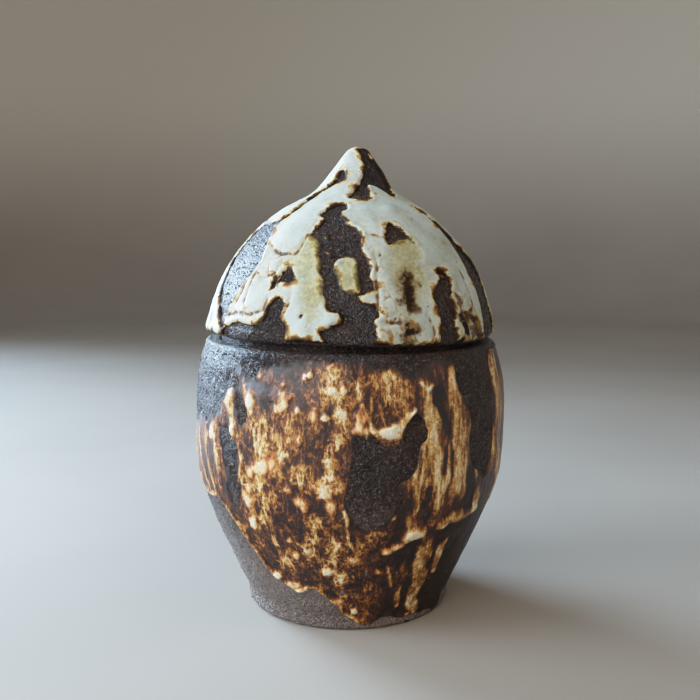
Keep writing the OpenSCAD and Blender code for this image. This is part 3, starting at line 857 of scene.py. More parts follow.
def pot_glaze_fields():
    """Height of the body's glaze above the clay, and the masks that colour it."""
    wall, places = pot_wall, pot_wall.places
    hanging = places * [1, 1, 0.25]
    ragged = 0.40 * drift(places, 5, 13, 2) + 0.28 * drift(places, 1.6, 14)
    edge_line = np.minimum(wall.along[-1] - wall.lengths, wall.lengths) - POT_EDGE_BARE
    depth = np.minimum(-wall.in_outlines(POT_WINDOWS), edge_line) + ragged
    masks = pot_marks(places, hanging) | pot_regions(places, depth)
    masks["low_streaks"] = masks["low_dark"] * masks["streaks"]
    thin = masks["thin"]
    pale = PALE + 0.13 * drift(places * [1, 1, 0.6], 8, 18, 2) + weighted(masks, PALE_BY)
    masks["amount"] = np.clip(pale, 0.02, 1.1) * (1 - 0.9 * thin)
    raised = (POT_T + weighted(masks, POT_T_BY)) * swell(depth, POT_ROLL)
    rough = 0.08 * drift(places, 2.6, 19) + 0.08 * drift(hanging, 2.0, 20)
    rough += 0.10 * masks["ochre"] * drift(hanging, 1.5, 26)
    raised += rough * ease(depth, 0, 1.2) * (1 - thin)
    raised = np.where(depth > 0.4, np.maximum(raised * (1 - 0.85 * thin), FILM_T), raised)
    raised += ease(thin, 0.1, 0.6) * grain_relief(places) - FILM_SUNK * ease(thin, 0.5, 1.0)
    return raised, {name: masks[name] for name in ("amount", "orange", "streaky", "thin", "ochre")}


# Meshes

def made_object(name, vertices, faces, fields):
    """A smooth mesh object in metres, with one number for each point under each field's name."""
    mesh = bpy.data.meshes.new(name)
    mesh.from_pydata((np.asarray(vertices) * MM).tolist(), [], faces)
    for field, values in fields.items():
        mesh.attributes.new(field, "FLOAT", "POINT").data.foreach_set("value", values.astype(np.float32))
    mesh.polygons.foreach_set("use_smooth", np.ones(len(mesh.polygons), bool))
    mesh.update()
    piece = bpy.data.objects.new(name, mesh)
    bpy.context.scene.collection.objects.link(piece)
    return piece


def grid_triangles(around, up, closed_top):
    """Triangles of a grid that goes right round, and whose last row may be one point."""
    i, j = np.meshgrid(np.arange(around), np.arange(up - 1), indexing="ij")
    a, b = i * up + j, (i + 1) % around * up + j
    triangles = np.concatenate([
        np.stack([a, b, b + 1], -1).reshape(-1, 3),
        np.stack([a, b + 1, a + 1], -1).reshape(-1, 3)])
    if closed_top:
        triangles = np.where(triangles % up == up - 1, up - 1, triangles)
        three = (triangles[:, 0] != triangles[:, 1]) & (triangles[:, 1] != triangles[:, 2])
        triangles = triangles[three & (triangles[:, 0] != triangles[:, 2])]
    return triangles


def cut_where_bare(triangles, level):
    """Cuts triangles along level 0. Gives the kept triangles, and for each new point the two old
    points that it lies between and its share of the way."""
    above = level > 0
    count = above[triangles].sum(1)
    whole = triangles[count == 3]
    crossed = triangles[(count == 1) | (count == 2)]
    odd = np.where(above[crossed].sum(1) == 1, 1, 0)
    first = np.argmax(above[crossed] == odd[:, None], axis=1)
    a, b, c = (crossed[np.arange(len(crossed)), (first + k) % 3] for k in range(3))
    edges = np.sort(np.concatenate([np.stack([a, b], -1), np.stack([a, c], -1)]), axis=1)
    between, place = np.unique(edges, axis=0, return_inverse=True)
    place = place.reshape(-1) + len(level)
    ab, ac = place[:len(a)], place[len(a):]
    one = odd == 1
    kept = np.concatenate([
        whole,
        np.stack([a, ab, ac], -1)[one],
        np.stack([ab, b, c], -1)[~one],
        np.stack([ab, c, ac], -1)[~one]])
    low, high = level[between[:, 0]], level[between[:, 1]]
    return kept, between, low / (low - high)


# How far a skin dips under the clay at its edges, how deep its hidden underside lies, and how many
# steps of the grid a large face of that underside is across
SUNK = 0.12
SKIN_ROOT = 0.45
BLOCK = 6


def coarse_root(kept, around, up, points):
    """The faces of the hidden underside: one for each whole block of the grid, small ones elsewhere."""
    cell_of = np.where((kept < points).all(1), kept.min(1), -1)
    column = np.where(cell_of >= 0, kept[:, 0] // up, -1)
    row = np.where(cell_of >= 0, kept[:, 0] % up, -1)
    across, high = around // BLOCK, (up - 1) // BLOCK
    inside = (column >= 0) & (column < across * BLOCK) & (row < high * BLOCK)
    block = np.where(inside, column // BLOCK * high + row // BLOCK, -1)
    filled = np.bincount(block[inside], minlength=across * high) == 2 * BLOCK * BLOCK
    small = kept[~(inside & filled[np.maximum(block, 0)])]
    faces = []
    for b in np.flatnonzero(filled):
        i, j = b // high * BLOCK, b % high * BLOCK
        ring = [((i + k) % around) * up + j for k in range(BLOCK)]
        ring += [((i + BLOCK) % around) * up + j + k for k in range(BLOCK)]
        ring += [((i + BLOCK - k) % around) * up + j + BLOCK for k in range(BLOCK)]
        ring += [(i % around) * up + j + BLOCK - k for k in range(BLOCK)]
        faces.append(ring)
    return small, faces


def glaze_skin(name, wall, closed_top, handmade, raised, fields):
    """A closed skin of glaze that lies on the clay and dips just under it at its edges."""
    around, up = len(wall.angles), len(wall.height)
    block = wall.places.reshape(around, up, 3)
    across = np.roll(block, -1, 0) - np.roll(block, 1, 0)
    along = np.gradient(block, axis=1)
    outward = np.cross(across, along).reshape(-1, 3)
    if closed_top:
        outward.reshape(around, up, 3)[:, -1] = [0, 0, 1]
    outward /= np.linalg.norm(outward, axis=1)[:, None] + 1e-12
    kept, between, share = cut_where_bare(grid_triangles(around, up, closed_top), raised + SUNK)

    def with_cuts(values):
        shape = (-1,) + (1,) * (values.ndim - 1)
        s = share.reshape(shape)
        return np.concatenate([values, values[between[:, 0]] * (1 - s) + values[between[:, 1]] * s])

    top = with_cuts(wall.places + outward * raised[:, None])
    root = with_cuts(wall.places - outward * SKIN_ROOT)
    edges = np.concatenate([kept[:, [0, 1]], kept[:, [1, 2]], kept[:, [2, 0]]])
    total = len(top)
    rim = edges[~np.isin(edges[:, 0] * total + edges[:, 1], edges[:, 1] * total + edges[:, 0])]
    small, blocks = coarse_root(kept, around, up, len(wall.places))
    under = small[:, ::-1].tolist() + [ring[::-1] for ring in blocks]
    top_used = np.unique(kept)
    root_used = np.unique(np.concatenate([np.unique(small), np.concatenate(blocks), np.unique(rim)]))
    top_place = np.zeros(total, int)
    top_place[top_used] = np.arange(len(top_used))
    root_place = np.zeros(total, int)
    root_place[root_used] = np.arange(len(root_used)) + len(top_used)
    start, end = rim.T
    walls = np.column_stack([top_place[end], top_place[start], root_place[start], root_place[end]])
    faces = top_place[kept].tolist() + walls.tolist() + [root_place[face].tolist() for face in under]
    vertices = handmade(np.concatenate([top[top_used], root[root_used]]))
    doubled = {}
    for field, values in fields.items():
        values = with_cuts(values)
        doubled[field] = np.concatenate([values[top_used], values[root_used]])
    return made_object(name, vertices, faces, doubled)


# Node trees, written as expressions

class Wire:
    """One output of a node. Sums, products and the like of wires add the nodes for them."""

    def __init__(self, graph, output):
        self.graph = graph
        self.output = output

    def maths(self, operation, *values):
        return self.graph.add("ShaderNodeMath", {"operation": operation}, dict(enumerate(values)))

    def __add__(self, other):
        return self.maths("ADD", self, other)

    def __sub__(self, other):
        return self.maths("SUBTRACT", self, other)

    def __rsub__(self, other):
        return self.maths("SUBTRACT", other, self)

    def __mul__(self, other):
        return self.maths("MULTIPLY", self, other)

    def __truediv__(self, other):
        return self.maths("DIVIDE", self, other)

    def __mod__(self, other):
        return self.maths("FLOORED_MODULO", self, other)

    def __abs__(self):
        return self.maths("ABSOLUTE", self)

    __radd__ = __add__
    __rmul__ = __mul__

    def held(self):
        """The value held between 0 and 1."""
        return self.graph.add("ShaderNodeClamp", {}, {0: self})

    def eased(self, low, high):
        """A smooth step from 0 at low to 1 at high."""
        return self.graph.add("ShaderNodeMapRange", {"interpolation_type": "SMOOTHSTEP"},
                              {0: self, 1: low, 2: high, 3: 0.0, 4: 1.0})


def shade(hex_colour):
    """A colour as the eye reads it, in the renderer's own scale."""
    parts = [int(hex_colour[k:k + 2], 16) / 255 for k in (0, 2, 4)]
    return tuple(p / 12.92 if p < 0.04045 else ((p + 0.055) / 1.055) ** 2.4 for p in parts) + (1.0,)


class Graph:
    """A node tree under construction."""

    def __init__(self, tree):
        self.tree = tree

    def feed(self, socket, value):
        """Puts a wire or a plain value on a socket."""
        if isinstance(value, Wire):
            self.tree.links.new(value.output, socket)
        else:
            socket.default_value = value

    def add(self, kind, settings, sockets, out=0):
        """A new node with its settings and with values or wires on its sockets, as its output wire."""
        node = self.tree.nodes.new(kind)
        for setting, value in settings.items():
            if setting == "stops":
                self.fill_ramp(node.color_ramp, value)
            else:
                setattr(node, setting, value)
        for socket, value in sockets.items():
            self.feed(node.inputs[socket], value)
        return Wire(self, node.outputs[out]) if len(node.outputs) else node

    @staticmethod
    def fill_ramp(ramp, stops):
        while len(ramp.elements) < len(stops):
            ramp.elements.new(1.0)
        for element, (position, colour) in zip(ramp.elements, stops.items()):
            element.position = position
            element.color = shade(colour)

    def ramp(self, factor, stops):
        """A colour by a factor, from colours at positions."""
        return self.add("ShaderNodeValToRGB", {"stops": stops}, {0: factor})

    def mix(self, factor, first, second):
        """One colour with a share of a second one, which may be a plain colour."""
        if isinstance(second, str):
            second = shade(second)
        return self.add("ShaderNodeMix", {"data_type": "RGBA"}, {0: factor, 6: first, 7: second}, out=2)

    def field(self, name):
        return self.add("ShaderNodeAttribute", {"attribute_name": name}, {}, out=2)

    def millimetres(self, stretch=(1, 1, 1)):
        place = self.add("ShaderNodeTexCoord", {}, {}, out=3)
        return self.add("ShaderNodeVectorMath", {"operation": "MULTIPLY"},
                        {0: place, 1: [s / MM for s in stretch]})

    def height_of(self, place):
        return self.add("ShaderNodeSeparateXYZ", {}, {0: place}, out=2)

    def noise(self, place, size, detail=3.0, rough=0.55, warp=0.0):
        return self.add("ShaderNodeTexNoise", {},
                        {"Vector": place, "Scale": 1 / size, "Detail": detail, "Roughness": rough,
                         "Distortion": warp})

    def threads(self, place, size, low, high):
        """Fine wandering lines, from 0 beside them to 1 on them."""
        return (1 - abs(self.noise(place, size, warp=0.4) * 2 - 1)).eased(low, high)

    def bent(self, place, size, amount):
        """A place moved about by a random field."""
        field = self.add("ShaderNodeTexNoise", {},
                         {"Vector": place, "Scale": 1 / size, "Detail": 2.0}, out=1)
        moved = self.add("ShaderNodeVectorMath", {"operation": "SCALE"}, {0: field, "Scale": amount})
        return self.add("ShaderNodeVectorMath", {"operation": "ADD"}, {0: place, 1: moved})

    def cells(self, place, size, feature="F1"):
        return self.add("ShaderNodeTexVoronoi", {"feature": feature},
                        {"Vector": place, "Scale": 1 / size})

    def bump(self, height, depth):
        return self.add("ShaderNodeBump", {}, {"Strength": 1.0, "Distance": depth * MM, "Height": height})


def material_of(name, look):
    """A material whose surface takes the values and wires that a look gives for its graph."""
    material = bpy.data.materials.new(name)
    material.use_nodes = True
    graph = Graph(material.node_tree)
    surface = material.node_tree.nodes["Principled BSDF"]
    for socket, value in look(graph).items():
        graph.feed(surface.inputs[socket], value)
    return material


def clay_look(graph, place):
    """Colour, roughness and grain height of bare clay, paler near the foot: drier clay and painted sheen.
    """
    broad = graph.noise(place, 14)
    grain = graph.noise(place, 1.0, rough=0.6)
    fleck = 1 - graph.cells(place, 0.9).eased(0.20, 0.40)
    colour = graph.ramp(broad * 0.3 + grain * 0.7, {
        0.34: "0b0402", 0.46: "21100a", 0.56: "3c261c", 0.68: "6c5546"})
    foot_pale_and_sheen = 1 - graph.height_of(place).eased(18, 52)
    rust = graph.noise(place, 8).eased(0.50, 0.66)
    colour = graph.mix(rust * (1 - foot_pale_and_sheen) * 0.5, colour, "401f0d")
    # Paler towards the foot: partly drier clay, partly painted sheen on the lower clay
    colour = graph.mix(foot_pale_and_sheen * (0.1 + grain), colour, "9a877d")
    # Light flecks: partly grog, partly painted glints, stronger towards the foot
    colour = graph.mix(fleck * grain.eased(0.42, 0.56) * (0.35 + foot_pale_and_sheen * 0.6), colour, "cabfb4")
    rough = 0.25 + 0.24 * grain
    height = grain * 1.0 + fleck * 0.45 + graph.noise(place, 0.5, detail=2) * 0.4
    return colour, rough, height


def bare_clay(graph):
    colour, rough, height = clay_look(graph, graph.millimetres())
    return {"Base Color": colour, "Roughness": rough, "Normal": graph.bump(height, 1.4),
            "Specular IOR Level": 0.55}


def crawled_glaze(graph):
    """The lid's white glaze, with brown and amber edges, olive and brown stains, seams and pits."""
    place = graph.millimetres()
    cloud = graph.noise(place, 9, detail=4)
    patch = graph.noise(place, 4.5, rough=0.6, warp=0.4)
    fine = graph.noise(place, 1.1, detail=5, rough=0.65)
    white = graph.ramp(cloud * 0.6 + fine * 0.4, {
        0.30: "a39b82", 0.42: "b5b9ab", 0.55: "c1cbc4", 0.75: "cdd7d2"})
    edge = graph.field("edge") + (fine - 0.5) * 1.5
    from_edge = edge / (0.55 + patch.eased(0.38, 0.68) * 3.2)
    rim = graph.ramp(from_edge, {
        0.0: "150d09", 0.22: "2c1a10", 0.42: "6c4724", 0.62: "ab8850", 0.85: "d2bf8c", 1.0: "dad2b8"})
    colour = graph.mix(from_edge.eased(0.7, 1.5), rim, white)
    olive = graph.field("olive") * (0.3 + fine * 0.9)
    colour = graph.mix(olive.held(), colour, graph.ramp(fine, {0.35: "7f7338", 0.65: "c6bb86"}))
    stain = (graph.field("stain") * 1.15 + (fine - 0.5) * 1.1 - 0.1).held()
    colour = graph.mix(stain.eased(0.05, 0.75), colour, graph.ramp(stain, {
        0.15: "c0b06e", 0.35: "92793a", 0.58: "5c3e19", 0.78: "38210e", 0.97: "1d0f07"}))
    crack = 1 - graph.cells(graph.bent(place, 4.0, 5.0), 6.0, "DISTANCE_TO_EDGE").eased(0.0, 0.16)
    crack = crack * graph.field("cracked") * patch.eased(0.36, 0.60)
    seam = (graph.field("seam") * (0.1 + patch.eased(0.32, 0.64) * 1.1) + crack * 0.6).held()
    colour = graph.mix(seam.eased(0.0, 0.7) * 0.85, colour, graph.ramp(seam, {
        0.15: "dcc48e", 0.45: "b58546", 0.75: "74491f", 0.95: "432710"}))
    pit = 1 - graph.cells(place, 5.5).eased(0.035, 0.075)
    colour = graph.mix(pit * 0.85, colour, "3a2616")
    rough = 0.42 + 0.22 * fine + 0.15 * stain
    height = fine * 0.35 + patch * 0.5 - pit * 1.2 - crack * 0.9
    return {"Base Color": colour, "Roughness": rough, "Normal": graph.bump(height, 0.22),
            "Specular IOR Level": 0.2}


def running_glaze(graph):
    """The body's glaze, from dark brown to cream by its amount, with clay where it is a film."""
    place = graph.millimetres()
    slack = graph.millimetres((1, 1, 0.45))
    down = graph.millimetres((1, 1, 0.16))
    fine = graph.noise(place, 0.95, detail=5, rough=0.62, warp=0.6)
    mottle = graph.noise(place, 3.4, detail=5, rough=0.62, warp=0.9)
    streak = graph.noise(down, 1.4, detail=5, rough=0.6, warp=0.35)
    broad_streak = graph.noise(down, 3.8, warp=0.3)
    flow = graph.noise(slack, 3.4, detail=4, rough=0.6, warp=0.7)
    net = 1 - graph.cells(graph.bent(slack, 2.0, 2.2), 1.7, "DISTANCE_TO_EDGE").eased(0.02, 0.22)
    thread = (graph.threads(slack, 2.4, 0.86, 0.98) * 0.8 + net * (mottle - 0.1)).held()
    streaky = graph.field("streaky")
    fleck = fine.eased(0.40, 0.62) - 0.45
    spread = (1 - streaky) * ((mottle - 0.5) * 0.9 + (flow - 0.5) * 1.2 + fleck * 0.16)
    spread = spread + streaky * ((streak - 0.5) * 1.5 + (broad_streak - 0.5) * 1.1 + fleck * 0.20)
    amount = graph.field("amount")
    level = amount + spread * (0.55 + amount * 0.6).held()
    level = level + thread * (0.24 + graph.field("ochre") * 0.10) * (1 - streaky * 0.7)
    colour = graph.ramp(level, {
        0.05: "140804", 0.20: "2c1208", 0.33: "4e250c", 0.44: "824617", 0.55: "b47a36", 0.67: "d4a760",
        0.80: "ead09a", 0.98: "f8edd4"})
    warm = graph.ramp(level, {
        0.30: "55260c", 0.48: "a4561c", 0.68: "cf8440", 0.86: "e4aa66", 1.0: "f3d6a4"})
    colour = graph.mix((graph.field("orange") * 1.2).held(), colour, warm)
    clay, clay_rough, clay_height = clay_look(graph, place)
    film = (graph.field("thin") + (fine - 0.5) * 0.6 + (mottle - 0.5) * 0.6).eased(0.30, 0.75)
    gloss = graph.height_of(place).eased(25, 75)
    rough = 0.50 + 0.20 * fine - 0.10 * level.held() - 0.08 * gloss
    height = (fine * 0.5 + streak * 0.4 + level * 0.8) * (1 - film) + clay_height * film * 4.1
    return {"Base Color": graph.mix(film, colour, clay), "Roughness": rough + film * (clay_rough - rough),
            "Coat Weight": (1 - film) * (0.15 + gloss * 0.6), "Coat Roughness": 0.34,
            "Normal": graph.bump(height, 0.34), "Specular IOR Level": 0.4}


def liner_glaze(graph):
    """The dark brown glaze inside the body."""
    place = graph.millimetres()
    cloud = graph.noise(place, 12, detail=4)
    fine = graph.noise(place, 1.4, detail=4)
    colour = graph.ramp(cloud * 0.7 + fine * 0.3, {
        0.3: "20140d", 0.5: "3a2414", 0.68: "5c3c20", 0.85: "7d5a30"})
    return {"Base Color": colour, "Roughness": 0.16 + 0.16 * fine, "Coat Weight": 0.3,
            "Normal": graph.bump(cloud * 0.8 + fine * 0.2, 0.2)}


# Geometry node trees

# Points nearer than this become one, in millimetres
SAME_POINT = 0.02
# A grain's length, width and height as shares of its size, and the most that it is turned
GRAIN_SHAPE = (1.0, 0.8, 0.6)
FULL_TURN = 6.28


def new_group(name, inputs):
    """A geometry tree with named inputs, its graph and its input wires."""
    tree = bpy.data.node_groups.new(name, "GeometryNodeTree")
    tree.interface.new_socket("Geometry", in_out="INPUT", socket_type="NodeSocketGeometry")
    for label, kind in inputs.items():
        tree.interface.new_socket(label, in_out="INPUT", socket_type=kind)
    tree.interface.new_socket("Geometry", in_out="OUTPUT", socket_type="NodeSocketGeometry")
    graph = Graph(tree)
    source = tree.nodes.new("NodeGroupInput")
    wires = {socket.name: Wire(graph, socket) for socket in source.outputs if socket.name}
    return tree, graph, wires


def close_group(graph, geometry, material):
    """Ends a geometry tree: instances made real, smooth shading, the material and the output."""
    real = graph.add("GeometryNodeRealizeInstances", {}, {0: geometry})
    smooth = graph.add("GeometryNodeSetShadeSmooth", {}, {0: real})
    dressed = graph.add("GeometryNodeSetMaterial", {}, {"Geometry": smooth, "Material": material})
    graph.add("NodeGroupOutput", {}, {0: dressed})


def turned_tree():
    """Turns an outline round the axis, as on a wheel, with the spiral ridges that fingers leave."""
    tree, graph, wires = new_group("turned_clay", {
        "Segments": "NodeSocketInt", "Front closeness": "NodeSocketFloat",
        "Ridge height": "NodeSocketFloat", "Ridge pitch": "NodeSocketFloat", "Clay": "NodeSocketMaterial"})
    outline = wires["Geometry"]
    points = graph.add("GeometryNodeAttributeDomainSize", {}, {0: outline})
    segments = wires["Segments"]
    sheet = graph.add("GeometryNodeMeshGrid", {}, {"Vertices X": segments + 1, "Vertices Y": points})
    index = graph.add("GeometryNodeInputIndex", {}, {})
    row = index % points
    even = (index - row) / points / segments * (2 * math.pi)
    turned = even - wires["Front closeness"] * even.maths("SINE", even)
    position = graph.add("GeometryNodeInputPosition", {}, {})
    place = graph.add("GeometryNodeSampleIndex", {"data_type": "FLOAT_VECTOR"},
                      {"Geometry": outline, "Value": position, "Index": row})
    parts = graph.add("ShaderNodeSeparateXYZ", {}, {0: place}).output.node.outputs
    height = Wire(graph, parts[2])
    phase = height / wires["Ridge pitch"] * (2 * math.pi) + turned
    radius = Wire(graph, parts[0])
    radius = radius + phase.maths("SINE", phase) * wires["Ridge height"] * radius.eased(0.0, 0.03)
    east = radius * turned.maths("SINE", turned)
    north = radius * turned.maths("COSINE", turned)
    spot = graph.add("ShaderNodeCombineXYZ", {}, {0: east, 1: 0 - north, 2: height})
    bent = graph.add("GeometryNodeSetPosition", {}, {"Geometry": sheet, "Position": spot})
    merged = graph.add("GeometryNodeMergeByDistance", {}, {"Geometry": bent, "Distance": SAME_POINT * MM})
    close_group(graph, merged, wires["Clay"])
    return tree


def grit_tree():
    """Scatters coarse grains over the clay where its bare field lets them show."""
    tree, graph, wires = new_group("grit", {
        "Grains per square metre": "NodeSocketFloat", "Smallest": "NodeSocketFloat",
        "Largest": "NodeSocketFloat", "Seed": "NodeSocketInt", "Clay": "NodeSocketMaterial"})
    bare = graph.add("GeometryNodeInputNamedAttribute", {"data_type": "FLOAT"}, {"Name": "bare"})
    density = bare * wires["Grains per square metre"]
    points = graph.add("GeometryNodeDistributePointsOnFaces", {}, {
        "Mesh": wires["Geometry"], "Density": density, "Seed": wires["Seed"]})
    grain = graph.add("GeometryNodeMeshIcoSphere", {}, {"Radius": 1.0, "Subdivisions": 1})
    size = graph.add("FunctionNodeRandomValue", {"data_type": "FLOAT"},
                     {2: wires["Smallest"], 3: wires["Largest"], "Seed": wires["Seed"]}, out=1)
    turn_by = graph.add("FunctionNodeRandomValue", {"data_type": "FLOAT_VECTOR"},
                        {0: (0, 0, 0), 1: (FULL_TURN,) * 3, "Seed": wires["Seed"]})
    long, wide, high = (size * share for share in GRAIN_SHAPE)
    shape = graph.add("ShaderNodeCombineXYZ", {}, {0: long, 1: wide, 2: high})
    placed = graph.add("GeometryNodeInstanceOnPoints", {}, {
        "Points": points, "Instance": grain, "Rotation": turn_by, "Scale": shape})
    close_group(graph, placed, wires["Clay"])
    return tree


def run_tree(name, source, tree, values):
    """Runs a geometry tree on a mesh and gives the result as a plain mesh object."""
    carrier = bpy.data.objects.new(name + "_source", source)
    bpy.context.scene.collection.objects.link(carrier)
    modifier = carrier.modifiers.new("tree", "NODES")
    modifier.node_group = tree
    named = {item.name: item.identifier for item in tree.interface.items_tree if item.in_out == "INPUT"}
    for label, value in values.items():
        modifier[named[label]] = value
    depsgraph = bpy.context.evaluated_depsgraph_get()
    mesh = bpy.data.meshes.new_from_object(carrier.evaluated_get(depsgraph), depsgraph=depsgraph)
    carrier.modifiers.clear()
    bpy.data.objects.remove(carrier)
    mesh.name = name
    piece = bpy.data.objects.new(name, mesh)
    bpy.context.scene.collection.objects.link(piece)
    return piece


def outline_mesh(points):
    """An outline of radius and height as a mesh of points and edges."""
    mesh = bpy.data.meshes.new("outline")
    places = [(r * MM, 0, z * MM) for r, z in points]
    mesh.from_pydata(places, [(k, k + 1) for k in range(len(places) - 1)], [])
    return mesh


def points_of(mesh):
    flat = np.zeros(len(mesh.vertices) * 3, np.float32)
    mesh.vertices.foreach_get("co", flat)
    return flat.reshape(-1, 3).astype(float) / MM


def set_points(mesh, points):
    mesh.vertices.foreach_set("co", (points * MM).astype(np.float32).ravel())
    mesh.update()


def face_outwards(mesh):
    """Turns every face of a closed mesh outwards."""
    work = bmesh.new()
    work.from_mesh(mesh)
    bmesh.ops.recalc_face_normals(work, faces=work.faces)
    work.to_mesh(mesh)
    work.free()


# Making turned pieces and their grains

TURNED = turned_tree()
GRIT = grit_tree()
RIDGE_HEIGHT = 0.05
RIDGE_PITCH = 7.0
SEGMENTS = 400
FRONT_CLOSENESS = 0.4
# Grains on a square metre of bare clay, and their smallest and largest half width
GRAINS = 450000.0
GRAIN_SMALL = 0.14
GRAIN_LARGE = 0.38
# Clay this far inside the wall no longer counts as its outside
WALL_NEAR = 3.0


def turned_piece(name, outline, finish, material):
    """A clay piece turned from its outline and then left as the hand left it."""
    piece = run_tree(name, outline_mesh(outline), TURNED, {
        "Segments": SEGMENTS, "Front closeness": FRONT_CLOSENESS, "Ridge height": RIDGE_HEIGHT * MM,
        "Ridge pitch": RIDGE_PITCH * MM, "Clay": material})
    face_outwards(piece.data)
    set_points(piece.data, finish(points_of(piece.data)))
    return piece


def bare_share(wall, bare, places):
    """How bare the outside of a clay piece is at places, from a field on its wall's grid."""
    radius = np.hypot(places[:, 0], places[:, 1])
    outside = radius > np.interp(places[:, 2], wall.height, wall.radius) - WALL_NEAR
    low, high = wall.height[0] + 0.2, wall.height[-1]
    within = (places[:, 2] > low) & (places[:, 2] < high)
    return bare[wall.nearest(places)] * outside * within


def add_grit(name, clay, wall, bare, seed):
    """Grains on the bare parts of a clay piece."""
    source = clay.data.copy()
    share = bare_share(wall, bare, points_of(clay.data))
    source.attributes.new("bare", "FLOAT", "POINT").data.foreach_set("value", share.astype(np.float32))
    return run_tree(name, source, GRIT, {
        "Grains per square metre": GRAINS, "Smallest": GRAIN_SMALL * MM, "Largest": GRAIN_LARGE * MM,
        "Seed": seed, "Clay": clay_finish})


# The pieces

CLAY_STEP = 0.75
INSIDE_STEP = 2.0
FOOT_ROUND = 0.8
RIM_ROUND = 0.6
LINER_T = 0.6
# A film of glaze counts as bare clay from this share on
FILM_BARE = 0.45
clay_finish = material_of("bare_clay", bare_clay)

hollow_r = FOOT_R - FOOT_RING_W
pot_outline = np.vstack([
    softened([(0, FOOT_HOLLOW), (hollow_r, FOOT_HOLLOW), (hollow_r, 0), (FOOT_R - EDGE, 0),
              (FOOT_R, EDGE), (FOOT_R, FOOT_H)], FOOT_ROUND)[:-1],
    spaced(pot_side, CLAY_STEP),
    softened([(RIM_R, RIM_Z - EDGE), (RIM_R - EDGE, RIM_Z), (GALLERY_R, RIM_Z), (GALLERY_R, LEDGE_Z),
              (MOUTH_R, LEDGE_Z), (MOUTH_R, LEDGE_Z - LEDGE_T), pot_inside[-1]], RIM_ROUND)[1:-1],
    spaced(pot_inside[::-1], INSIDE_STEP)])
pot = turned_piece("pot_clay", pot_outline, lambda p: handmade_pot(grainy(p)), clay_finish)

flange_in = FLANGE_R - FLANGE_T
lid_outline = np.vstack([
    [crown],
    bezier(crown, crown + [CROWN_PULL[0] * crown_edge[0], 0],
           crown_edge + CROWN_PULL[1] * crown_edge[0] * heading(180 - TURN_SLOPE), crown_edge, 10),
    spaced(dome_inside[::-1], INSIDE_STEP)[1:],
    softened([dome_inside[0], (flange_in, LID_Z), (flange_in, LEDGE_Z), (FLANGE_R, LEDGE_Z),
              (FLANGE_R, LID_Z), tuple(lid_foot)], RIM_ROUND)[1:-1],
    spaced(lid_side, CLAY_STEP)])
lid = turned_piece("lid_clay", lid_outline, lambda p: handmade_lid(grainy(p)), clay_finish)

pot_raised, pot_fields = pot_glaze_fields()
pot_glaze = glaze_skin("pot_glaze", pot_wall, False, handmade_pot, pot_raised, pot_fields)
pot_glaze.data.materials.append(material_of("brown_running_glaze", running_glaze))
pot_bare = np.maximum((pot_raised < -SUNK) * 1.0, pot_fields["thin"] > FILM_BARE)
pot_grit = add_grit("pot_grit", pot, pot_wall, pot_bare, SEED)

lid_raised, lid_fields = lid_glaze_fields()
lid_glaze = glaze_skin("lid_glaze_skin", lid_wall, True, handmade_lid, lid_raised, lid_fields)
lid_glaze.data.materials.append(material_of("white_crawled_glaze", crawled_glaze))
lid_bare = (lid_raised < -SUNK) * 1.0
lid_grit = add_grit("lid_grit", lid, lid_wall, lid_bare, SEED + 1)

liner_outline = np.vstack([
    spaced(pot_inside, INSIDE_STEP), spaced(moved_in(pot_inside, LINER_T)[::-1], INSIDE_STEP)])
liner_outline[-1, 0] = 0
liner_finish = material_of("dark_liner_glaze", liner_glaze)
liner = turned_piece("pot_liner", liner_outline, handmade_pot, liner_finish)

for piece, body, node, slot in (
        (pot, "jar", "jar_body", "stoneware"), (pot_grit, "jar", "jar_body", "stoneware"),
        (pot_glaze, "jar", "body_glaze", "body_glaze"), (liner, "jar", "liner_glaze", "liner_glaze"),
        (lid, "lid", "lid", "stoneware"), (lid_grit, "lid", "lid", "stoneware"),
        (lid_glaze, "lid", "lid_glaze", "lid_glaze")):
    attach(piece, body)
    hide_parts(node)


# Floor, light and camera, in metres

SWEEP_REACH = 1.05
SWEEP_BEND = 0.45
SWEEP_TALL = 0.8
SWEEP_SIDES = 96


def pale_floor(graph):
    """A warm pale floor that gets lighter up the backdrop."""
    place = graph.millimetres()
    tone = graph.ramp(graph.noise(place, 160, detail=2), {0.3: "a0968b", 0.7: "a89e93"})
    colour = graph.mix(graph.height_of(place).eased(30, 420), tone, "e0d8cb")
    return {"Base Color": colour, "Roughness": 0.75}


def pale_sweep():
    """A round floor that bends up into a backdrop all round the jar."""
    arc = [(SWEEP_REACH + SWEEP_BEND * math.sin(a), SWEEP_BEND * (1 - math.cos(a)))
           for a in np.linspace(0, math.pi / 2, 17)]
    profile = [(SWEEP_REACH / 2, 0.0)] + arc + [(SWEEP_REACH + SWEEP_BEND, SWEEP_TALL)]
    count = len(profile)
    turns = np.arange(SWEEP_SIDES) * 2 * math.pi / SWEEP_SIDES
    vertices = [(r * math.cos(a), r * math.sin(a), z) for a in turns for r, z in profile]
    faces = []
    for side in range(SWEEP_SIDES):
        here, beside = side * count, (side + 1) % SWEEP_SIDES * count
        faces += [(here + k, here + k + 1, beside + k + 1, beside + k) for k in range(count - 1)]
    faces.append([side * count for side in range(SWEEP_SIDES)])
    mesh = bpy.data.meshes.new("pale_sweep")
    mesh.from_pydata(vertices, [], faces)
    mesh.polygons.foreach_set("use_smooth", np.ones(len(faces), bool))
    mesh.materials.append(material_of("pale_floor", pale_floor))
    sweep = bpy.data.objects.new("pale_sweep", mesh)
    bpy.context.scene.collection.objects.link(sweep)


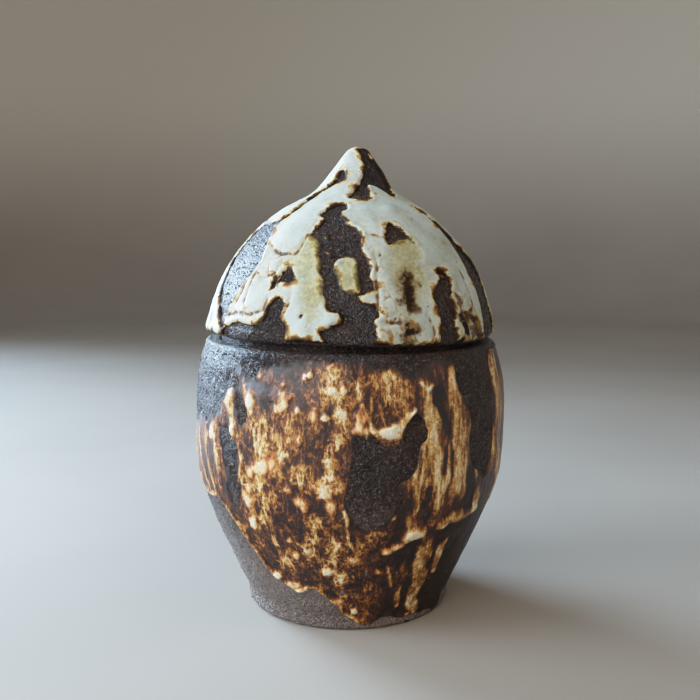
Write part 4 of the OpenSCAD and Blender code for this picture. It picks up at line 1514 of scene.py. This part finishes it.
def area_light(name, place, aim_z, size, power, colour, spread=180):
    """A soft light that points at a height on the jar's axis and doesn't show itself."""
    light = bpy.data.lights.new(name, "AREA")
    light.shape = "RECTANGLE"
    light.size, light.size_y = size
    light.energy = power
    light.color = colour
    light.spread = math.radians(spread)
    lamp = bpy.data.objects.new(name, light)
    lamp.location = place
    lamp.rotation_euler = (Vector((0, 0, aim_z)) - Vector(place)).to_track_quat("-Z", "Y").to_euler()
    lamp.visible_camera = False
    bpy.context.scene.collection.objects.link(lamp)


ROOM_COLOUR = (1.0, 0.92, 0.84, 1)
ROOM_STRENGTH = 0.07


def studio():
    """The floor, a dim surround and five soft lights, the cool ones on the left."""
    pale_sweep()
    world = bpy.data.worlds.new("soft_room")
    world.use_nodes = True
    world.node_tree.nodes["Background"].inputs[0].default_value = ROOM_COLOUR
    world.node_tree.nodes["Background"].inputs[1].default_value = ROOM_STRENGTH
    bpy.context.scene.world = world
    area_light("window", (-0.93, -0.16, 0.48), 0.09, (0.6, 0.7), 6.4, (0.66, 0.83, 1.0), 120)
    area_light("far_window", (-0.72, 0.66, 0.38), 0.09, (0.5, 0.5), 4.3, (0.54, 0.76, 1.0), 60)
    area_light("room", (-0.6, -0.9, 0.5), 0.08, (0.8, 0.8), 6.2, (1.0, 0.96, 0.91))
    area_light("sky", (-0.35, -0.25, 1.0), 0.12, (0.8, 0.8), 2.4, (0.62, 0.80, 1.0))
    area_light("far_room", (0.6, -0.45, 1.0), 0.10, (0.8, 0.8), 3.0, (1.0, 0.86, 0.68))


FOCUS_PX = 900.0
FRAME_PX = 700.0
SENSOR_MM = 36.0
NEAR_CLIP = 0.01
CAMERA_PLACE = (0.0, -0.3186, 0.1308)
CAMERA_PITCH = 7.5


def photo_camera():
    """A camera at the photograph's place and angle."""
    data = bpy.data.cameras.new("camera")
    data.sensor_width = SENSOR_MM
    data.lens = data.sensor_width * FOCUS_PX / FRAME_PX
    data.clip_start = NEAR_CLIP
    camera = bpy.data.objects.new("camera", data)
    camera.location = CAMERA_PLACE
    camera.rotation_euler = (math.radians(90 - CAMERA_PITCH), 0, 0)
    bpy.context.scene.collection.objects.link(camera)
    bpy.context.scene.camera = camera


# The light that shows as plain white, and the curve below it, as light and tone
WHITE_LEVEL = 2.0
SHOULDER = [(0.2, 0.2), (0.4, 0.4), (0.55, 0.54), (0.8, 0.72), (1.0, 0.81), (1.4, 0.915)]


def picture_tones():
    """Plain tones, with a soft shoulder so that the whites do not clip."""
    view = bpy.context.scene.view_settings
    view.view_transform = "Standard"
    view.use_curve_mapping = True
    view.curve_mapping.white_level = [WHITE_LEVEL] * 3
    for light, tone in SHOULDER:
        view.curve_mapping.curves[3].points.new(light / WHITE_LEVEL, tone)
    view.curve_mapping.update()


studio()
photo_camera()
picture_tones()
